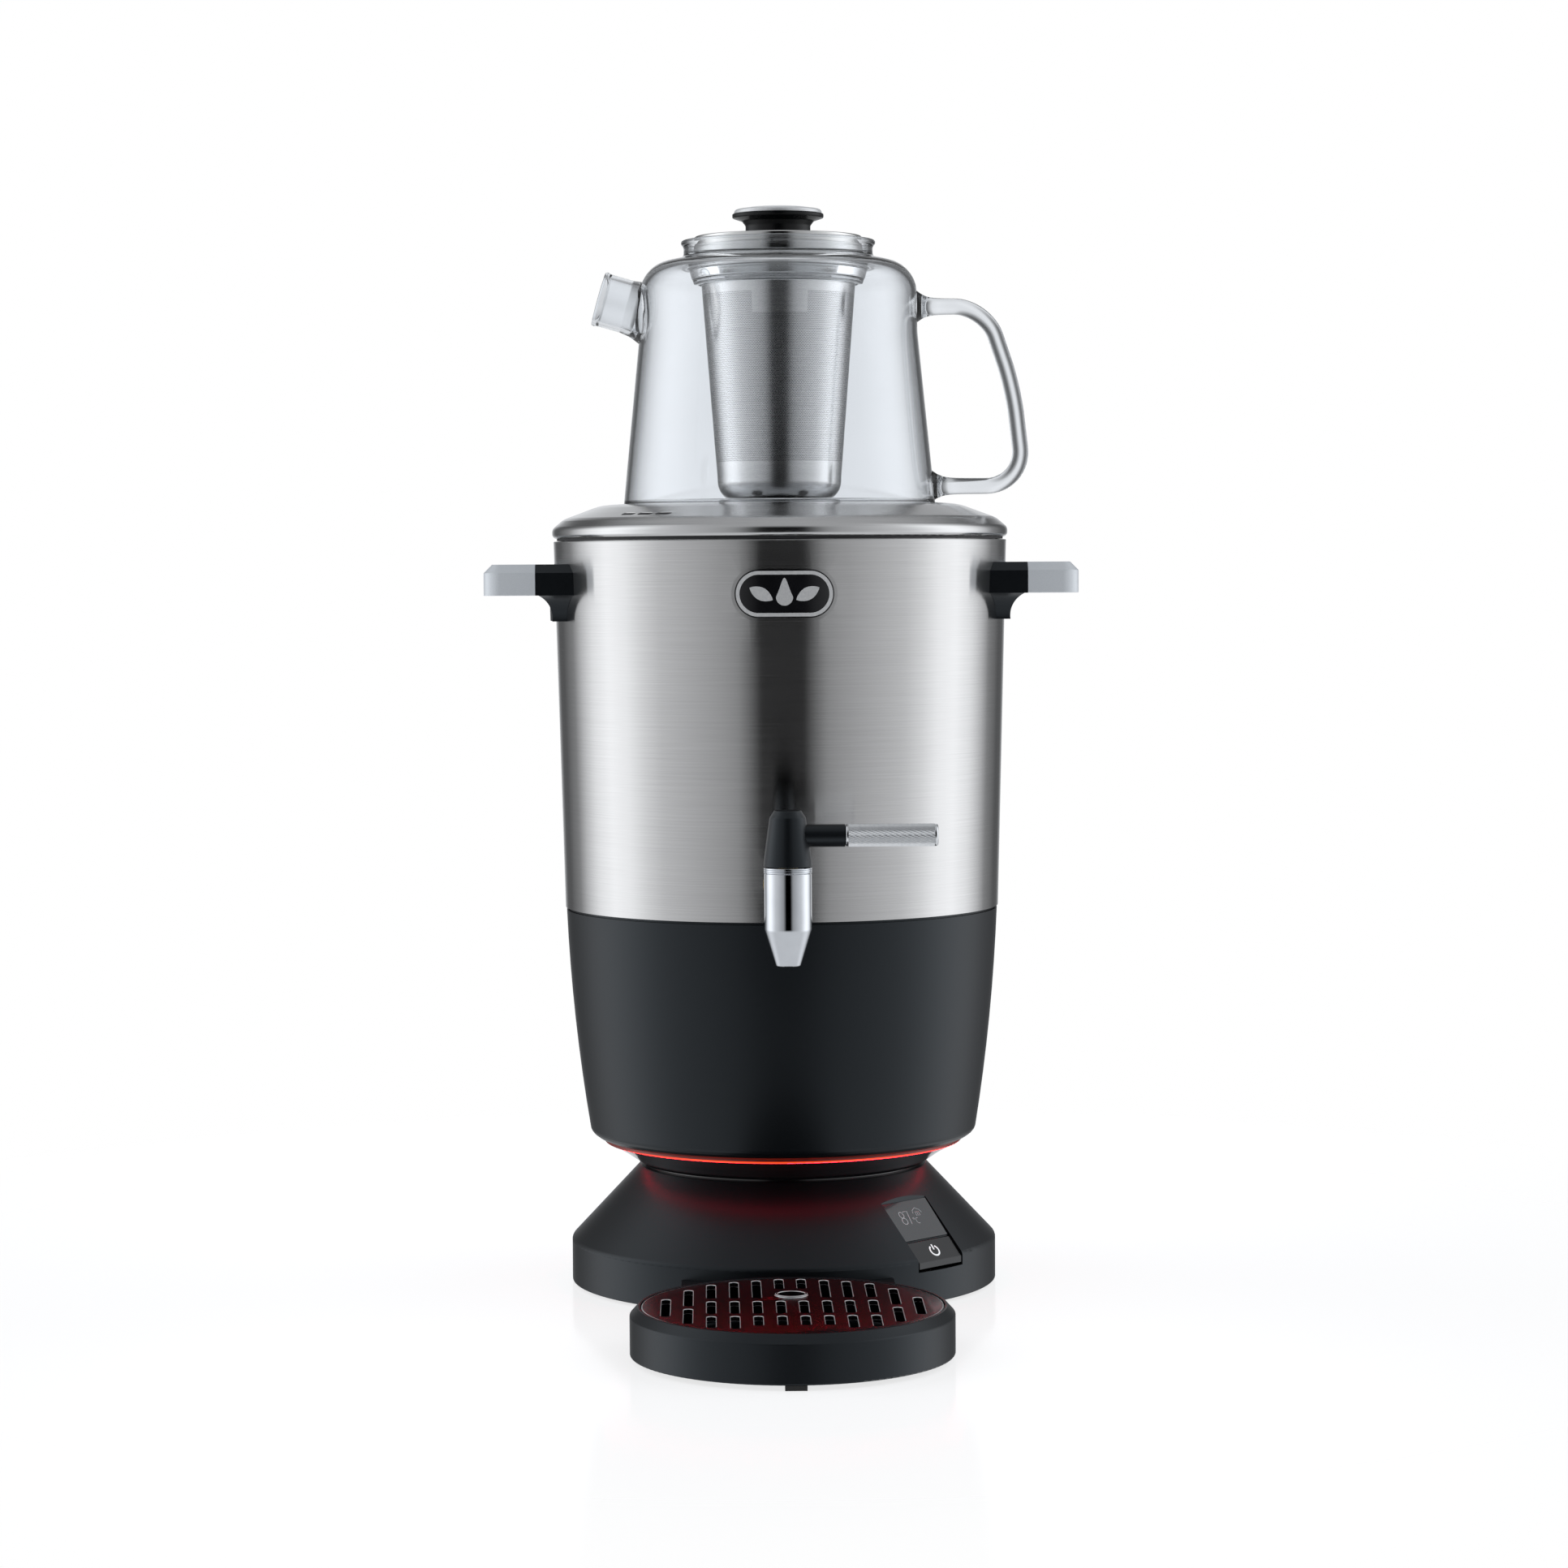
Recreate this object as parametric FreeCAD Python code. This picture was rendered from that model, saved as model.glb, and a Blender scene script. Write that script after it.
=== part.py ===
"""Electric samovar: glass teapot on a steel water tank with a lever tap, base and drip tray.

Millimetres. +Z is up, the origin is on the tank axis at the surface the samovar stands on.
The tap and the drip tray are at the front, towards -Y; the teapot handle points to +X.
"""
import FreeCAD, Part
import os
from math import asin, cos, degrees, pi, radians, sin, sqrt, tan
from FreeCAD import Matrix, Vector

# ---- driving dimensions -------------------------------------------------------------------
GAP = 0.3                   # between pieces that move apart
STEEL = 0.8                 # sheet steel of the tank
PLASTIC = 2.5               # moulded walls

# base
BASE_R = 102.2              # vertical band of the base
BASE_BOTTOM = 1.5           # the feet lift the cover by this much
BASE_CORNER_Z = 21.9        # where the band meets the cone
BASE_TOP_R = 68.9
BASE_TOP_Z = 57.2
BASE_SCREW_R = 88.0
BASE_SCREW_ANGLES = (10, 60, 120, 180, 240)
CORD_BORE_R = 3.6
CORD_Z = 12.0

# control panel: a flat strip let into the cone and the band
PANEL_AZIMUTH = 45.4        # to the right of the front
PANEL_TOP_R = 78.2          # distance from the axis and height of the strip's upper edge
PANEL_TOP_Z = 45.3
PANEL_SLOPE = 47.5
PANEL_W = 30.0
DISPLAY_LENGTH = 20.9
BUTTON_START = 21.8         # down the slope from the upper edge
BUTTON_FRONT_R = 100.9
BUTTON_BOTTOM_Z = 17.6
PANEL_RECESS_Z = 16.4
BUTTON_TRAVEL = 1.0

# neck, light ring and lower housing
NECK_R = 66.6
NECK_SCREW_R = 62.5
NECK_SCREW_ANGLES = (45, 135, 225, 315)
BOWL_TOP_R = 84.9
BOWL_TOP_Z = 68.6
COLUMN_R = 52.0             # circle of the three tie bolts
COLUMN_ANGLES = (90, 210, 330)
HOUSING_BOTTOM_Z = 70.5
HOUSING_TOP_Z = 180.7
HOUSING_TOP_R = 103.5

# tank
SHELL_BOTTOM_Z = 182.0
SHELL_TOP_Z = 355.9
SHELL_BOTTOM_R = 104.05
SHELL_TOP_R = 108.4
AIR_GAP = 2.2               # between the outer shell and the water vessel
VESSEL_FLOOR_Z = 187.0      # water side of the vessel's floor
VESSEL_RIM_Z = SHELL_TOP_Z + STEEL
VESSEL_WELD_R = 92.0        # where the floor disc is welded into the drawn wall

# tap
TAP_Y = -150.0
SHANK_Z = 200.0
TAP_BODY_R = 10.7
TAP_BODY_TOP = 208.4
TAP_RING_TOP = 210.9
TAP_CAP_TOP = 236.2
TAP_OUTLET_Z = 167.0
LEVER_Z = 224.9
LEVER_R = 5.05
LEVER_STUB_X = 25.4
LEVER_END_X = 66.9
VALVE_R = 6.5

# side handles
HANDLE_BOTTOM_Z = 331.3
HANDLE_TOP_Z = 345.9
HANDLE_END_X = 140.0
HANDLE_JOINT_X = 115.5
HANDLE_HALF_Y = 46.0
HANDLE_BAR = 12.0
HANDLE_TAIL_Z = 319.0
HANDLE_FOOT_Y = 36.5         # half the distance between the feet of a bracket's tails
SADDLE_WALL = 2.7            # saddle that follows the tank between the two tails
SADDLE_SCREW_R = 109.8       # tips of the screws that hold the saddle

# badge
BADGE_Z = 332.0
BADGE_W = 45.3
BADGE_H = 21.9
BADGE_RING = 1.65

# tank lid
LID_SEAT_Z = 370.9
LID_SEAT_R = 75.6
LID_R = 109.0
LID_EDGE_Z = 358.0
VENT_R = 98.5
VENT_AZIMUTHS = (-46.2, -40.0, -33.8)

# teapot
POT_BOTTOM = LID_SEAT_Z + GAP
POT_FOOT_R = 74.9
POT_SHOULDER_R = 65.9
POT_NECK_R = 45.2
POT_RIM_Z = 499.5
POT_WALL = 2.2
POT_FLOOR_R = 64.0
SPOUT_R = 12.75
SPOUT_TILT = 16.2
SPOUT_MOUTH = Vector(-85.9, 0, 472.5)
ROD_R = 3.9

# infuser, teapot lid and knob
BASKET_TOP_R = 36.9
BASKET_TOP_Z = 480.0
BASKET_SEAM_R = 29.7
BASKET_BOTTOM_Z = 375.5
BASKET_WALL = 0.5
COLLAR_R = 40.7
COLLAR_TOP_Z = 489.4
POT_LID_R = 40.0
POT_LID_TOP = 501.5
KNOB_TOP_Z = 515.7

# drip tray
TRAY_Y = -195.7
TRAY_R = 71.0
TRAY_BOTTOM = 2.2
TRAY_TOP = 23.5
TONGUE_HALF_W = 49.0
TONGUE_TOP = 15.6
TAB_HALF_W = 20.0
GRILLE_R = 66.0
GRILLE_BOTTOM = 20.9
GRILLE_TOP = 23.2
SLOT_W = 3.9

Z_AXIS = Vector(0, 0, 1)
X_AXIS = Vector(1, 0, 0)
Y_AXIS = Vector(0, 1, 0)

os.makedirs("parts", exist_ok=True)


# ---- shape helpers ------------------------------------------------------------------------
def save(name, shape):
    """Write one sub-part; several solids are kept together as a compound."""
    solids = shape.Solids
    body = solids[0] if len(solids) == 1 else Part.makeCompound(solids)
    if not body.isValid():
        raise ValueError(name + " is not a valid solid")
    body.exportStep("parts/" + name + ".step")


def rounded_points(points):
    """Turn (x, y) or (x, y, radius) corners into a closed list of edges in the XZ plane."""
    corners = [Vector(p[0], 0, p[1]) for p in points]
    radii = [p[2] if len(p) > 2 else 0 for p in points]
    count = len(corners)
    ends = []
    for i, corner in enumerate(corners):
        to_last = (corners[i - 1] - corner).normalize()
        to_next = (corners[(i + 1) % count] - corner).normalize()
        if radii[i] == 0:
            ends.append((corner, None, corner))
            continue
        half = to_last.getAngle(to_next) / 2
        reach = radii[i] / tan(half)
        middle = (to_last + to_next).normalize() * (radii[i] / sin(half) - radii[i])
        ends.append((corner + to_last * reach, corner + middle, corner + to_next * reach))
    edges = []
    for i, (start, middle, end) in enumerate(ends):
        if middle is not None:
            edges.append(Part.Arc(start, middle, end).toShape())
        following = ends[(i + 1) % count][0]
        if end.distanceToPoint(following) > 1e-6:
            edges.append(Part.LineSegment(end, following).toShape())
    return edges


def face(points):
    return Part.Face(Part.Wire(rounded_points(points)))


def turned(points, angle=360):
    """Revolve an outline given as (radius, height) about the Z axis."""
    return face(points).revolve(Vector(0, 0, 0), Z_AXIS, angle)


def sideways(points, y_from, y_to):
    """Push an outline given as (x, z) along Y."""
    shape = face(points)
    shape.translate(Vector(0, y_from, 0))
    return shape.extrude(Vector(0, y_to - y_from, 0))


def plate(points, z_from, z_to):
    """Push an outline given as (x, y) along Z."""
    shape = face(points)
    shape.rotate(Vector(0, 0, 0), X_AXIS, -90)
    shape = shape.mirror(Vector(0, 0, 0), Y_AXIS)
    shape.translate(Vector(0, 0, z_from - shape.BoundBox.ZMin))
    return shape.extrude(Vector(0, 0, z_to - z_from))


def rod(radius, start, end):
    start = Vector(*start)
    along = Vector(*end) - start
    return Part.makeCylinder(radius, along.Length, start, along)


def ring(outer, inner, z_from, z_to):
    return turned([(inner, z_from), (outer, z_from), (outer, z_to), (inner, z_to)])


def block(x_from, x_to, y_from, y_to, z_from, z_to):
    corner = Vector(x_from, y_from, z_from)
    return Part.makeBox(x_to - x_from, y_to - y_from, z_to - z_from, corner)


def slot_prism(length, width, z_from, z_to):
    """A slot with round ends, lying along X and centred on the origin."""
    a, b, r = length / 2, width / 2, width / 2 - 0.001
    return plate([(-a, -b, r), (a, -b, r), (a, b, r), (-a, b, r)], z_from, z_to)


def around(shape, angles):
    """Copies of a shape turned about the Z axis."""
    copies = []
    for angle in angles:
        copy = shape.copy()
        copy.rotate(Vector(0, 0, 0), Z_AXIS, angle)
        copies.append(copy)
    return copies


def on_circle(radius, angle, z=0):
    return Vector(radius * cos(radians(angle)), radius * sin(radians(angle)), z)


def joined(shapes):
    return shapes[0].fuse(list(shapes[1:])).removeSplitter()


def swept_rod(radius, points):
    """A round rod along (x, z, bend radius) corners in the XZ plane, open at both ends."""
    corners = [Vector(p[0], 0, p[1]) for p in points]
    edges = []
    last = corners[0]
    for i in range(1, len(corners) - 1):
        back = (corners[i - 1] - corners[i]).normalize()
        ahead = (corners[i + 1] - corners[i]).normalize()
        half = back.getAngle(ahead) / 2
        bend = points[i][2]
        reach = bend / tan(half)
        middle = corners[i] + (back + ahead).normalize() * (bend / sin(half) - bend)
        start = corners[i] + back * reach
        end = corners[i] + ahead * reach
        edges.append(Part.LineSegment(last, start).toShape())
        edges.append(Part.Arc(start, middle, end).toShape())
        last = end
    edges.append(Part.LineSegment(last, corners[-1]).toShape())
    first_way = (corners[1] - corners[0]).normalize()
    section = Part.Wire(Part.makeCircle(radius, corners[0], first_way))
    return Part.Wire(edges).makePipeShell([section], True, False)


# ---- tank walls as functions of height ----------------------------------------------------
def shell_radius(z):
    """Outside of the tapered steel shell at a height."""
    share = (z - SHELL_BOTTOM_Z) / (SHELL_TOP_Z - SHELL_BOTTOM_Z)
    return SHELL_BOTTOM_R + share * (SHELL_TOP_R - SHELL_BOTTOM_R)


def tank_cone(inset, z_from=SHELL_BOTTOM_Z, z_to=SHELL_TOP_Z):
    """A solid cone that runs parallel to the shell, inset from its outside."""
    low = shell_radius(z_from) - inset
    high = shell_radius(z_to) - inset
    return turned([(0, z_from), (low, z_from), (high, z_to), (0, z_to)])


# ---- base ---------------------------------------------------------------------------------
def panel_place(shape):
    """Move a shape from panel coordinates to its place on the base.

    Panel coordinates: X to the right, Y up the slope, Z outwards, origin mid upper edge.
    """
    azimuth = radians(PANEL_AZIMUTH)
    slope = radians(PANEL_SLOPE)
    outward = Vector(sin(azimuth), -cos(azimuth), 0)
    right = Vector(cos(azimuth), sin(azimuth), 0)
    up_slope = outward * -cos(slope) + Z_AXIS * sin(slope)
    normal = outward * sin(slope) + Z_AXIS * cos(slope)
    origin = outward * PANEL_TOP_R + Z_AXIS * PANEL_TOP_Z
    turn = Matrix(right.x, up_slope.x, normal.x, origin.x,
                  right.y, up_slope.y, normal.y, origin.y,
                  right.z, up_slope.z, normal.z, origin.z, 0, 0, 0, 1)
    return shape.transformed(turn, True)


def panel_side(points, half_width):
    """A prism across the panel from an outline in (distance from the axis, height)."""
    shape = sideways(points, -half_width, half_width)
    shape.rotate(Vector(0, 0, 0), Z_AXIS, PANEL_AZIMUTH - 90)
    return shape


def panel_surface(r):
    """Height of the panel's flat at a distance from the axis."""
    return PANEL_TOP_Z - (r - PANEL_TOP_R) * tan(radians(PANEL_SLOPE))


def base_outline(inset):
    """Height of the band's corner and radius under the top ring, set in by a wall thickness."""
    slope = (BASE_CORNER_Z - BASE_TOP_Z) / (BASE_R - BASE_TOP_R)
    drop = inset * sqrt(1 + slope * slope)
    corner_z = BASE_CORNER_Z - slope * inset - drop
    top_r = BASE_TOP_R + (drop - PLASTIC) / slope
    return corner_z, top_r


def base_cover():
    corner_in, top_in = base_outline(PLASTIC)
    shape = turned([
        (BASE_R, BASE_BOTTOM, 0.5), (BASE_R, BASE_CORNER_Z, 3), (BASE_TOP_R, BASE_TOP_Z, 0.8),
        (58, BASE_TOP_Z), (58, BASE_TOP_Z - PLASTIC), (top_in, BASE_TOP_Z - PLASTIC),
        (BASE_R - PLASTIC, corner_in, 1.5), (BASE_R - PLASTIC, BASE_BOTTOM)])
    bosses = [Part.makeCylinder(4, 32 - 3.5, on_circle(BASE_SCREW_R, a, 3.5))
              for a in BASE_SCREW_ANGLES]
    shape = joined([shape] + bosses)
    pilots = [Part.makeCylinder(1.45, 14, on_circle(BASE_SCREW_R, a, 3.5))
              for a in BASE_SCREW_ANGLES]
    neck_holes = [Part.makeCylinder(1.6, 8, on_circle(NECK_SCREW_R, a, 52))
                  for a in NECK_SCREW_ANGLES]
    window = panel_side([
        (PANEL_TOP_R - 4, PANEL_TOP_Z + 14), (PANEL_TOP_R - 4, PANEL_RECESS_Z),
        (BASE_R + 3, PANEL_RECESS_Z), (BASE_R + 3, PANEL_TOP_Z + 14)], PANEL_W / 2 + 0.5)
    over_panel = panel_side([
        (40, panel_surface(40) + 0.6), (60, PANEL_TOP_Z + 60), (40, PANEL_TOP_Z + 60)], 60)
    top_cut = panel_side([
        (PANEL_TOP_R - 20, 30), (PANEL_TOP_R - 0.6, 30), (PANEL_TOP_R - 0.6, 90),
        (PANEL_TOP_R - 20, 90)], PANEL_W)
    window = window.cut(top_cut).cut(over_panel)
    dock = block(-TAB_HALF_W - 0.4, TAB_HALF_W + 0.4, -BASE_R - 2, -BASE_R + 14, 3.6, 12.4)
    gland = rod(5.5, (0, BASE_R - 10, CORD_Z), (0, BASE_R + 2, CORD_Z))
    return shape.cut(pilots + neck_holes + [window, dock, gland])


def base_plate():
    shape = turned([(0, BASE_BOTTOM), (BASE_R - PLASTIC - 0.4, BASE_BOTTOM),
                    (BASE_R - PLASTIC - 0.4, 3.5), (0, 3.5)])
    posts = [Part.makeCylinder(3, 6.5, Vector(x, y, 3.5)) for x in (-55, 15) for y in (5, 45)]
    shape = joined([shape] + posts)
    screws = [Part.makeCylinder(1.45, 4, on_circle(BASE_SCREW_R, a)) for a in BASE_SCREW_ANGLES]
    slots = [block(-45, 45, y, y + 3, 0, 5) for y in (-58, -50, -42)]
    return shape.cut(screws + slots)


def base_feet():
    feet = [turned([(0, 0), (9, 0, 0.4), (9, BASE_BOTTOM), (0, BASE_BOTTOM)])]
    feet = [foot.translated(on_circle(80, a)) for foot in feet for a in (35, 145, 215, 325)]
    feet.append(turned([(0, 0), (14, 0, 0.4), (14, BASE_BOTTOM), (0, BASE_BOTTOM)]))
    return Part.makeCompound(feet)


def pan_screw(head_r, head_h, shank_r, length):
    """A screw along +Z with the head's top at z = 0 and the shank above it."""
    head = turned([(0, 0), (head_r, 0, head_h * 0.6), (head_r, head_h), (0, head_h)])
    shank = Part.makeCylinder(shank_r, length, Vector(0, 0, head_h))
    cross = [block(-head_r * 0.55, head_r * 0.55, -0.4, 0.4, -1, head_h * 0.5),
             block(-0.4, 0.4, -head_r * 0.55, head_r * 0.55, -1, head_h * 0.5)]
    return head.fuse(shank).cut(cross)


def base_screws():
    """Thread-forming screws: the bottom plate's, and four up into the neck bowl's bosses."""
    plate_screw = pan_screw(2.8, 1.1, 1.45, 14)
    neck_screw = pan_screw(3, 1.4, 1.45, 7)
    neck_z = BASE_TOP_Z - PLASTIC - 1.4
    screws = [plate_screw.translated(on_circle(BASE_SCREW_R, a, BASE_BOTTOM - 1.1))
              for a in BASE_SCREW_ANGLES]
    screws += [neck_screw.translated(on_circle(NECK_SCREW_R, a, neck_z)) for a in NECK_SCREW_ANGLES]
    return Part.makeCompound(screws)


def cord_gland():
    """Rubber bush in the rear wall with flanges inside and outside the band."""
    flanges = rod(7.5, (0, BASE_R - 6.5, CORD_Z), (0, BASE_R + 2.6, CORD_Z))
    wall = ring(BASE_R, BASE_R - PLASTIC, 0, BASE_CORNER_Z)
    body = rod(5.5, (0, BASE_R - 6.5, CORD_Z), (0, BASE_R + 2.6, CORD_Z))
    shape = joined([flanges.cut(wall), body])
    bore = rod(CORD_BORE_R, (0, BASE_R - 10, CORD_Z), (0, BASE_R + 5, CORD_Z))
    return shape.cut(bore)


def terminal_block():
    shape = block(-13, 13, 66, 80, 3.5, 16)
    screws = [Part.makeCylinder(2, 6, Vector(x, 73, 11)) for x in (-8, 0, 8)]
    return shape.cut(screws)


def power_board():
    board = block(-60, 20, 0, 50, 10, 11.6)
    relay = block(-54, -36, 20, 44, 11.6, 27)
    converter = block(-30, -8, 28, 46, 11.6, 25)
    capacitor = Part.makeCylinder(5, 16, Vector(8, 36, 11.6))
    connector = block(-8, 8, 3, 9, 11.6, 18)
    return joined([board, relay, converter, capacitor, connector])


# ---- control panel ------------------------------------------------------------------------
def panel_frame():
    """Moulded carrier under the strip: floor, side walls and a bar between its two windows."""
    depth = 9.0
    full = 33.0
    outer = block(-18, 18, -full, 2.5, -depth, -depth + 2)
    walls = [block(-18, -PANEL_W / 2 - 0.8, -full + 7, 2.5, -depth, -3.2),
             block(PANEL_W / 2 + 0.8, 18, -full + 7, 2.5, -depth, -3.2)]
    bar = block(-15.8, 15.8, -BUTTON_START + 0.2, -DISPLAY_LENGTH - 0.1, -depth, -0.4)
    shape = panel_place(joined([outer] + walls + [bar]))
    corner_in, top_in = base_outline(PLASTIC + GAP)
    keep = turned([(0, 4), (BASE_R - PLASTIC - GAP, 4), (BASE_R - PLASTIC - GAP, corner_in),
                   (top_in, BASE_TOP_Z - PLASTIC), (0, BASE_TOP_Z - PLASTIC)])
    stem_hole = panel_place(rod(4.2, (0, -27.5, -20), (0, -27.5, 0)))
    between = panel_place(block(-15.3, 15.3, -BUTTON_START + 0.2, -DISPLAY_LENGTH - 0.1,
                                -depth, -0.4))
    return shape.common(keep).fuse(between.cut(keep)).removeSplitter().cut(stem_hole)


def display_window():
    """Tinted pane flush with the strip; its upper end is upright like the cover's edge."""
    thick = 1.4
    top_r = PANEL_TOP_R - 0.3
    end_r = PANEL_TOP_R + DISPLAY_LENGTH * cos(radians(PANEL_SLOPE))
    back_r = end_r - thick * sin(radians(PANEL_SLOPE))
    drop = thick / cos(radians(PANEL_SLOPE))
    return panel_side([
        (top_r, panel_surface(top_r)), (end_r, panel_surface(end_r)),
        (back_r, panel_surface(back_r) - drop), (top_r, panel_surface(top_r) - drop)], PANEL_W / 2)


def control_board():
    """Board behind the display pane, with the display module soldered on it."""
    board = block(-14.5, 14.5, -20.3, -0.5, -6.8, -5.2)
    module = block(-13, 13, -18.5, -2.5, -5.2, -1.4)
    return panel_place(joined([board, module]))


def power_button():
    """Sloped key that wraps over the front edge, with a stem that meets the switch."""
    half = PANEL_W / 2 - 0.4
    start_r = PANEL_TOP_R + BUTTON_START * cos(radians(PANEL_SLOPE))
    key = panel_side([
        (start_r, panel_surface(start_r), 0.4), (BUTTON_FRONT_R, panel_surface(BUTTON_FRONT_R), 0.8),
        (BUTTON_FRONT_R, BUTTON_BOTTOM_Z, 0.3), (BUTTON_FRONT_R - 2, BUTTON_BOTTOM_Z),
        (BUTTON_FRONT_R - 2, panel_surface(BUTTON_FRONT_R) - 1.2, 0.5),
        (start_r - 1.4, panel_surface(start_r) - 1.5)], half)
    stem = panel_place(rod(3, (0, -27.5, -4.6), (0, -27.5, -1)))
    return joined([key, stem])


def switch_plunger():
    return panel_place(rod(1.75, (0, -27.5, -7.0), (0, -27.5, -4.6)))


def button_switch():
    case = block(-3, 3, -30.3, -24.7, -10.6, -6.2)
    socket = rod(2.0, (0, -27.5, -9.0), (0, -27.5, -6))
    board = block(-5.5, 5.5, -31.5, -20.4, -12.0, -10.6)
    return panel_place(joined([case, board]).cut(socket))


# ---- neck and light ring ------------------------------------------------------------------
def neck_bowl():
    shape = turned([
        (20, BASE_TOP_Z), (NECK_R, BASE_TOP_Z), (NECK_R, 58.4), (68.5, 58.4, 0.4),
        (77.3, 64.4, 30), (BOWL_TOP_R, BOWL_TOP_Z), (80, BOWL_TOP_Z), (80, 67.6),
        (75.4, 66.4, 6), (66.5, 60.4, 2), (20, 60)])
    bosses = [Part.makeCylinder(4.5, 10.5, on_circle(COLUMN_R, a, 60)) for a in COLUMN_ANGLES]
    screw_bosses = [Part.makeCylinder(3.2, 5, on_circle(NECK_SCREW_R, a, 60))
                    for a in NECK_SCREW_ANGLES]
    shape = joined([shape] + bosses + screw_bosses)
    bolts = [Part.makeCylinder(2, 20, on_circle(COLUMN_R, a, 55)) for a in COLUMN_ANGLES]
    pilots = [Part.makeCylinder(1.45, 6, on_circle(NECK_SCREW_R, a, 56)) for a in NECK_SCREW_ANGLES]
    return shape.cut(bolts + pilots)


def light_ring():
    return turned([(80.2, BOWL_TOP_Z), (86.2, BOWL_TOP_Z, 0.5), (86.2, HOUSING_BOTTOM_Z),
                   (80.2, HOUSING_BOTTOM_Z)])


def led_board():
    """Annular board with side-firing diodes on its edge, all soldered into one piece."""
    board = ring(76.5, 64, HOUSING_BOTTOM_Z - 1.6, HOUSING_BOTTOM_Z)
    led = block(76, 79, -1.5, 1.5, HOUSING_BOTTOM_Z - 1.5, HOUSING_BOTTOM_Z - 0.2)
    return joined([board] + around(led, [11.25 + 22.5 * k for k in range(16)]))


# ---- lower housing and heater -------------------------------------------------------------
def lower_housing():
    """Black cup under the tank: slightly barrelled wall, floor ring and a locating tongue."""
    outer = Part.Arc(Vector(92.9, 0, 75.3), Vector(100.1, 0, 131), Vector(HOUSING_TOP_R, 0, HOUSING_TOP_Z))
    inner = Part.Arc(Vector(100.7, 0, HOUSING_TOP_Z - 2), Vector(97.5, 0, 131), Vector(90.3, 0, 76.5))
    corners = [(100.7, HOUSING_TOP_Z - 2), (100.4, SHELL_BOTTOM_Z + 1), (100.4, SHELL_BOTTOM_Z + 4.6),
               (102.3, SHELL_BOTTOM_Z + 4.6), (102.3, HOUSING_TOP_Z), (HOUSING_TOP_R, HOUSING_TOP_Z)]
    top = Part.makePolygon([Vector(r, 0, z) for r, z in reversed(corners)])
    low = Part.makePolygon([Vector(r, 0, z) for r, z in (
        (90.3, 76.5), (88, 73), (42, 73), (42, HOUSING_BOTTOM_Z), (87.0, HOUSING_BOTTOM_Z),
        (89.7, 71.6), (91.6, 73.0), (92.5, 74.2), (92.9, 75.3))])
    wire = Part.Wire(Part.__sortEdges__([outer.toShape(), inner.toShape()] + top.Edges + low.Edges))
    shape = Part.Face(wire).revolve(Vector(0, 0, 0), Z_AXIS, 360)
    bolts = [Part.makeCylinder(2, 20, on_circle(COLUMN_R, a, 60)) for a in COLUMN_ANGLES]
    return shape.cut(bolts)


def support_columns():
    tube = ring(4.5, 2, 73, VESSEL_FLOOR_Z - STEEL)
    return Part.makeCompound([tube.translated(on_circle(COLUMN_R, a)) for a in COLUMN_ANGLES])


def tie_bolts():
    head = Part.makeCylinder(4.2, 3, Vector(0, 0, BASE_TOP_Z - 3))
    shank = Part.makeCylinder(2, VESSEL_FLOOR_Z - STEEL - BASE_TOP_Z, Vector(0, 0, BASE_TOP_Z))
    socket = Part.Face(Part.makePolygon([on_circle(1.8, 60 * k, BASE_TOP_Z - 3) for k in range(7)]))
    bolt = head.fuse(shank).cut(socket.extrude(Vector(0, 0, 1.8)))
    return Part.makeCompound([bolt.translated(on_circle(COLUMN_R, a)) for a in COLUMN_ANGLES])


def heat_shield():
    shape = turned([(30, 162), (94, 162), (94, 168), (93.2, 168), (93.2, 162.8), (30, 162.8)])
    holes = [Part.makeCylinder(4.5, 4, on_circle(COLUMN_R, a, 160)) for a in COLUMN_ANGLES]
    return shape.cut(holes)


def heater_plate():
    top = VESSEL_FLOOR_Z - STEEL
    shape = turned([(0, top - 6), (46, top - 6, 1), (46, top), (0, top)])
    return shape.cut(Part.makeCylinder(3, 20, Vector(0, -20, top - 12)))


def heater_element():
    """Tubular element brazed under the plate: an open ring with two terminal ends."""
    z = VESSEL_FLOOR_Z - STEEL - 10
    tube = Part.Face(Part.Wire(Part.makeCircle(4, Vector(37, 0, z), Y_AXIS)))
    loop = tube.revolve(Vector(0, 0, 0), Z_AXIS, 330)
    ends = [Part.makeCylinder(2, 8, on_circle(37, a, z - 10)) for a in (2, 328)]
    return joined([loop] + ends)


def boil_dry_thermostat():
    top = VESSEL_FLOOR_Z - STEEL - 6
    can = turned([(0, top - 4), (8, top - 4), (8, top), (0, top)])
    cap = Part.makeCylinder(6.5, 4, Vector(0, 0, top - 8))
    return can.fuse(cap).removeSplitter().translated(Vector(0, 12, 0))


def thermal_fuse():
    z = VESSEL_FLOOR_Z - STEEL - 8
    body = rod(2, (-22, 6, z), (-22, -10, z))
    legs = [rod(0.6, (-22, 6, z), (-22, 14, z)), rod(0.6, (-22, -10, z), (-22, -16, z))]
    return joined([body] + legs)


def temperature_probe():
    top = VESSEL_FLOOR_Z - STEEL
    return turned([(0, top - 16), (4.5, top - 16), (4.5, top - 12), (3, top - 12),
                   (3, top), (0, top)]).translated(Vector(0, -20, 0))


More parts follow.
